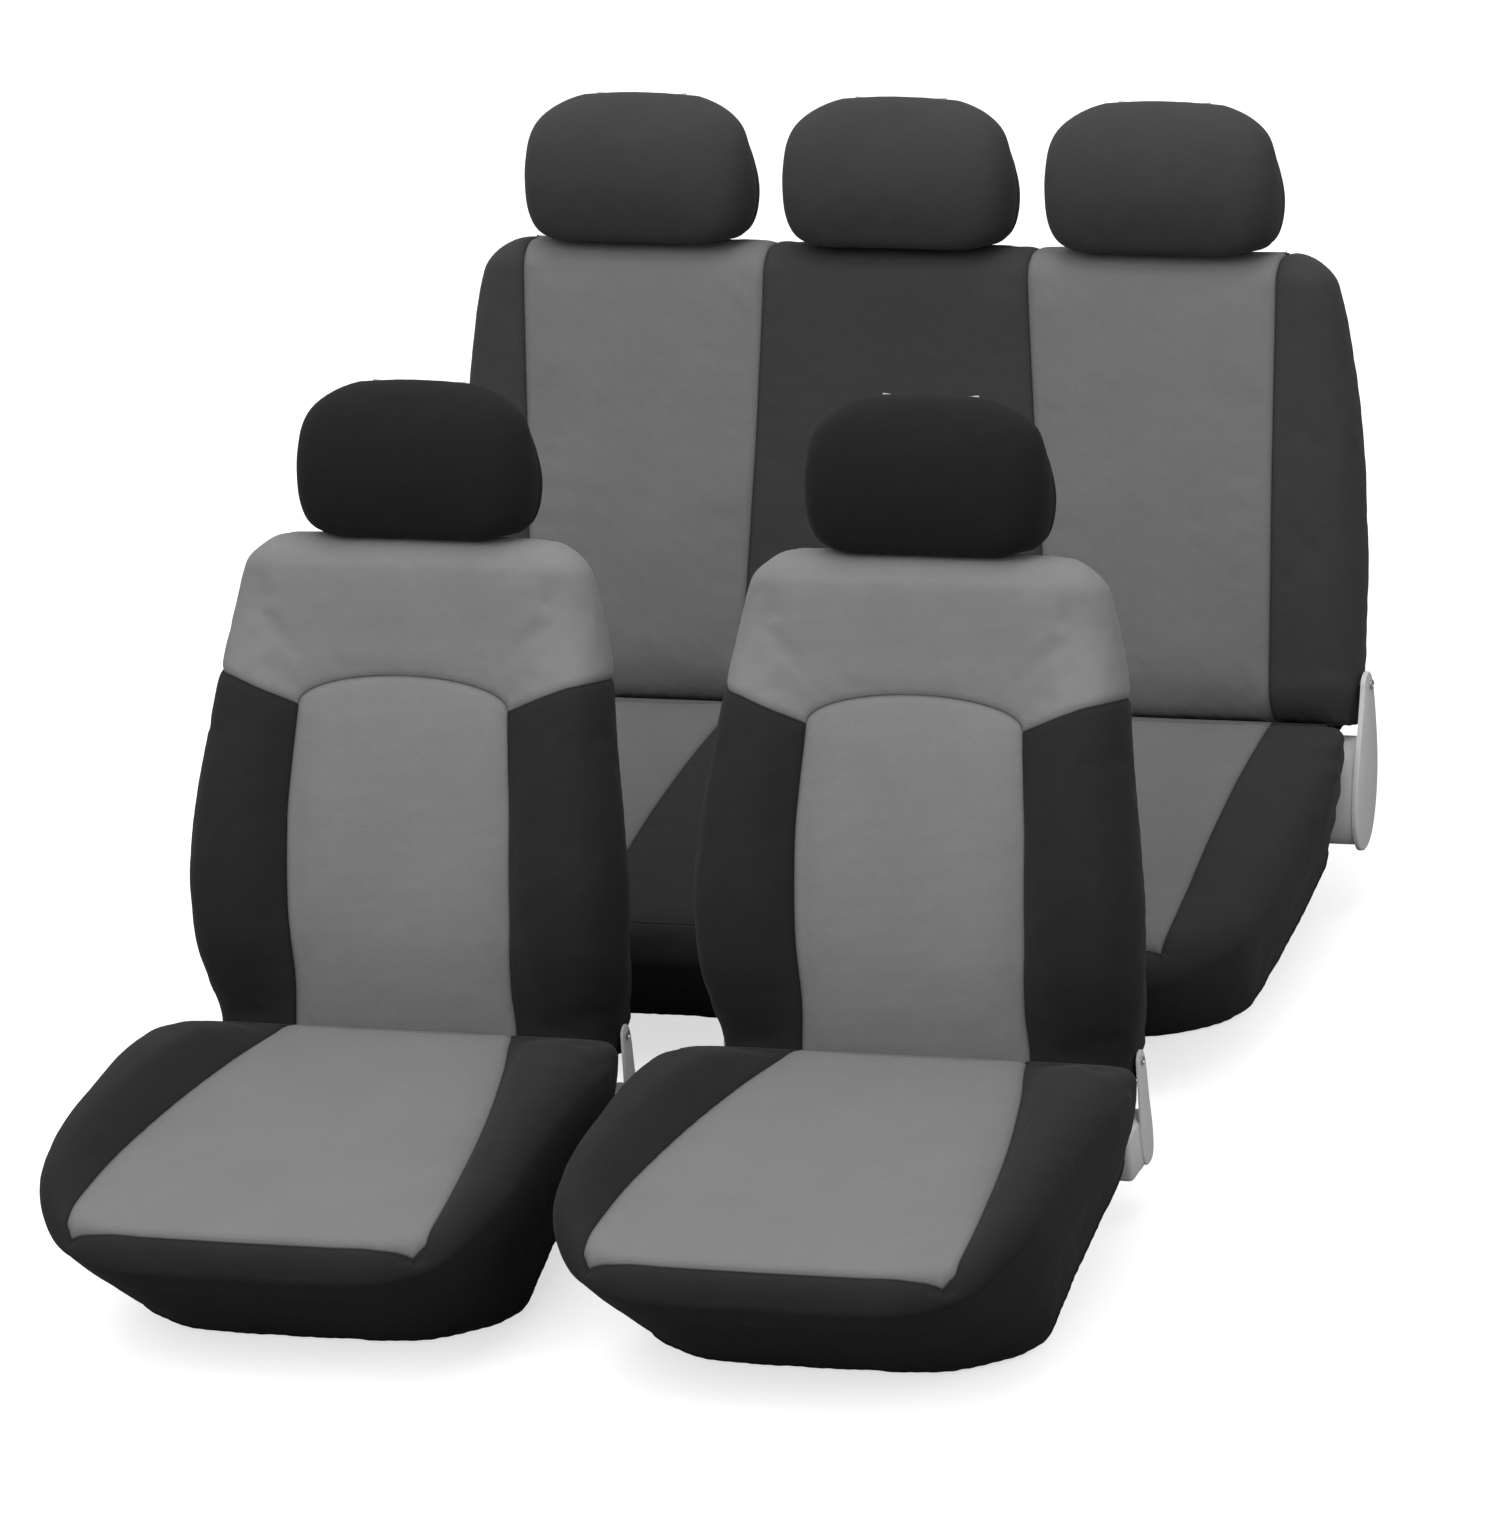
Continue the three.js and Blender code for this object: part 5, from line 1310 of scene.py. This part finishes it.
def strap_mesh(x0, x1, lo, hi, zt, thick, seed, along="y"):
    """Flat webbing between x0 and x1: a ribbed strip with rolled edges, wavering slightly. Width lo..hi."""
    nx, nw = 160, 9
    xs = np.linspace(x0, x1, nx)
    P = []
    prof = [(t, 1) for t in np.linspace(0.02, 0.98, nw)] + [(1.0, 0.5)] + [(t, 0) for t in np.linspace(0.98, 0.02, nw)] + [(0.0, 0.5)]
    r = np.random.default_rng(seed)
    ph = r.uniform(0, 6, 3)
    for xx in xs:
        wav = 0.35 * math.sin(xx / 31 + ph[0]) + 0.25 * math.sin(xx / 17 + ph[1])
        for t, up in prof:
            w = lo + (hi - lo) * t
            P.append((xx, w + wav * 0.6, zt + thick * up + 0.12 * math.sin(t * PI * 8) * (1 if up == 1 else 0)))
    m = len(prof)
    F = [(i * m + j, i * m + (j + 1) % m, (i + 1) * m + (j + 1) % m, (i + 1) * m + j) for i in range(nx - 1) for j in range(m)]
    F.append(tuple(range(m))[::-1])
    F.append(tuple((nx - 1) * m + j for j in range(m)))
    P = np.array(P)
    if along == "z":  # lay the width up the backrest and the thickness outwards
        P = P[:, [0, 2, 1]]
    return P, F


def front_hardware(side, p):
    seat, lean = at_front(side)
    b, f = f"front_{p}_base", f"front_{p}_"
    r = math.radians(FRONT_RECLINE)
    py, pz = 60 * math.cos(r), -60 * math.sin(r)
    for q, sg in (("left", -1), ("right", 1)):
        a, c = (257.6, 260.6) if sg > 0 else (-257.6, -260.6)
        P, F = plate_mesh(a, c, [(py - 13, pz - 4), (py - 10, pz + 9), (py + 1, pz + 14), (py + 11, pz + 9), (py + 14, pz - 8), (66, -70), (66, -116), (58, -148), (34, -150), (26, -138), (28, -104), (38, -60)], 1.6)
        plain_piece(P, F, seat, f + f"hinge_plate_{q}_moulded", SHIELD, b, "seat_shield", [f + f"hinge_plate_{q}"], crisp=50)
    P, F = rod_mesh(261.2, 263.4, 5.5, 4.4)
    plain_piece(P + [0, py, pz], F, seat, f + "hinge_rod_turned", STEEL, b, "steel", [f + "hinge_rod"], crisp=35)
    z0 = -FRONT_CREASE_Z
    P, F = strap_mesh(-232, 232, -344, -306, z0 + 1.4, 2.2, 5)
    P[:, 2] += 26 * smooth(194, 232, np.abs(P[:, 0]))
    plain_piece(P, F, seat, f + "under_strap_woven", WEB, b, "elastic", [f + "under_strap"], crisp=50)
    P, F = clip_mesh(0, -325, z0 + 6.1, 48, 44, 3.6)
    plain_piece(P, F, seat, f + "strap_buckle_clip", CLIP, b, "buckle", [f + "strap_buckle"], crisp=40)


def rear_hardware():
    b, f = "rear_base", "rear_"
    r = math.radians(REAR_RECLINE)
    py, pz = 55 * math.cos(r) + 58 * math.sin(r), -55 * math.sin(r) + 58 * math.cos(r)
    for q, sg in (("left", -1), ("right", 1)):
        a, c = (597.4, 603.4) if sg > 0 else (-597.4, -603.4)
        P, F = plate_mesh(a, c, [(py - 22, pz - 2), (py - 15, pz + 13), (py + 1, pz + 18), (py + 12, pz + 11), (py + 14, pz - 10), (78, -32), (66, -76), (44, -116), (16, -146), (-14, -152), (-34, -136), (-34, -100), (-16, -62), (12, -24)], 3.4)
        plain_piece(P, F, REAR_SEAT, f + f"hinge_plate_{q}_moulded", SHIELD, b, "seat_shield", [f + f"hinge_plate_{q}"], crisp=50)
    P, F = rod_mesh(605.4, 607.6, 6.0, 4.8)
    plain_piece(P + [0, py, pz], F, REAR_SEAT, f + "hinge_rod_turned", STEEL, b, "steel", [f + "hinge_rod"], crisp=35)
    P, F = strap_mesh(-506, 506, 251, 289, 107.7, 2.1, 9, "z")
    plain_piece(P, F, REAR_LEAN, f + "back_strap_woven", WEB, "rear_back", "elastic", [f + "back_strap"], crisp=50)
    P, F = clip_mesh(0, 270, 113.2, 56, 46, 5.4)
    plain_piece(P[:, [0, 2, 1]], F, REAR_LEAN, f + "back_strap_buckle_clip", CLIP, "rear_back", "buckle", [f + "back_strap_buckle"], crisp=40)


# ------------------------------------------------------------------ build everything
for side, p in ((-1, "left"), (1, "right")):
    front_back_pieces(side, p)
    front_cushion_pieces(side, p)
    headrest_pieces(0, at_front(side)[1], FRONT_TOP, 0, f"front_{p}_headrest", f"front_{p}_head", BLACK_H)
    front_hardware(side, p)
rear_back_pieces()
bench_pieces()
for i, p in enumerate(("left", "centre", "right")):
    headrest_pieces((i - 1) * REAR_HEAD_SPACING, REAR_LEAN, REAR_TOP, REAR_POST_SHIFT, f"rear_headrest_{p}", f"rear_head_{p}", BLACK_R)
rear_hardware()

# ------------------------------------------------------------------ floor, light and camera
def floor_mesh():
    n, size = 24, 9.0
    g = np.linspace(-size, size, n)
    P = np.array([(a, b, -0.0012) for a in g for b in g])
    F = [(i * n + j, (i + 1) * n + j, (i + 1) * n + j + 1, i * n + j + 1) for i in range(n - 1) for j in range(n - 1)]
    return obj_from("studio_floor", P, F, FLOOR, smooth_it=False)


def floor_material():
    """Pale paper floor: white to the camera, with soft shadows, but throwing back only part of the light onto the seats."""
    m, nt, b, tc = nodes_of("studio_floor")
    L = nt.links
    out = nt.nodes["Material Output"]
    b.inputs["Base Color"].default_value = (0.58, 0.58, 0.58, 1)
    b.inputs["Roughness"].default_value = 1.0
    b.inputs["Specular IOR Level"].default_value = 0.0
    em = add(nt, "ShaderNodeEmission", Strength=0.66)
    both = nt.nodes.new("ShaderNodeAddShader")
    L.new(b.outputs[0], both.inputs[0])
    L.new(em.outputs[0], both.inputs[1])
    dim = add(nt, "ShaderNodeBsdfDiffuse", Color=(0.16, 0.16, 0.16, 1))
    path = nt.nodes.new("ShaderNodeLightPath")
    mix = nt.nodes.new("ShaderNodeMixShader")
    L.new(path.outputs["Is Camera Ray"], mix.inputs[0])
    L.new(dim.outputs[0], mix.inputs[1])
    L.new(both.outputs[0], mix.inputs[2])
    L.new(mix.outputs[0], out.inputs["Surface"])
    return m


FLOOR = floor_material()
stage = [floor_mesh()]


def area(name, loc, aim, size, power, color=(1, 1, 1)):
    d = bpy.data.lights.new(name, "AREA")
    d.shape, d.size, d.size_y, d.energy, d.color = "RECTANGLE", size[0], size[1], power, color
    o = bpy.data.objects.new(name, d)
    bpy.context.scene.collection.objects.link(o)
    o.location = loc
    o.rotation_euler = (Vector(aim) - Vector(loc)).to_track_quat("-Z", "Y").to_euler()
    return o


stage.append(area("key", (-0.9, -3.4, 4.6), (0, -0.1, 0.35), (3.0, 3.0), 120))
stage.append(area("fill", (3.6, -1.6, 2.6), (0, 0.3, 0.4), (2.4, 2.4), 30))
stage.append(area("top", (0.2, 0.6, 5.0), (0, 0.1, 0.3), (4.0, 4.0), 95))

w = bpy.data.worlds.new("studio")
bpy.context.scene.world = w
w.use_nodes = True
wn = w.node_tree
wtc = wn.nodes.new("ShaderNodeTexCoord")
wsep = wn.nodes.new("ShaderNodeSeparateXYZ")
wn.links.new(wtc.outputs["Generated"], wsep.inputs[0])
wr = wn.nodes.new("ShaderNodeValToRGB")
wr.color_ramp.elements[0].position, wr.color_ramp.elements[1].position = 0.0, 0.75
wr.color_ramp.elements[0].color, wr.color_ramp.elements[1].color = (0.42, 0.42, 0.42, 1), (1, 1, 1, 1)
wn.links.new(wsep.outputs[2], wr.inputs[0])
wpath = wn.nodes.new("ShaderNodeLightPath")
wmix = wn.nodes.new("ShaderNodeMix")
wmix.data_type = "RGBA"
wn.links.new(wpath.outputs["Is Camera Ray"], wmix.inputs[0])
wn.links.new(wr.outputs[0], wmix.inputs[6])
wmix.inputs[7].default_value = (1.3, 1.3, 1.3, 1)
wn.links.new(wmix.outputs[2], wn.nodes["Background"].inputs[0])
wn.nodes["Background"].inputs[1].default_value = 0.80
bpy.context.scene.view_settings.view_transform = "Standard"
bpy.context.scene.view_settings.look = "None"

az, el, roll = math.radians(23.724), math.radians(24.715), math.radians(-8.101)
back = Vector((math.sin(az) * math.cos(el), -math.cos(az) * math.cos(el), math.sin(el)))
right = Vector((math.cos(az), math.sin(az), 0))
up = back.cross(right)
r2 = right * math.cos(roll) + up * math.sin(roll)
u2 = -right * math.sin(roll) + up * math.cos(roll)
target = Vector((0, (300 - ORIGIN_Y) * MM, 0.4))
cam = bpy.data.cameras.new("photo_view")
cam.sensor_width, cam.sensor_fit, cam.lens = 36, "AUTO", 11572.0 / 1532 * 36
cam.clip_start, cam.clip_end = 0.5, 60
co = bpy.data.objects.new("photo_view", cam)
bpy.context.scene.collection.objects.link(co)
m = Matrix((r2, u2, back)).transposed().to_4x4()
m.translation = target + back * 13.845 + r2 * (30.076 / 0.8358 * MM) + u2 * (14.873 / 0.8358 * MM)
co.matrix_world = m
bpy.context.scene.camera = co
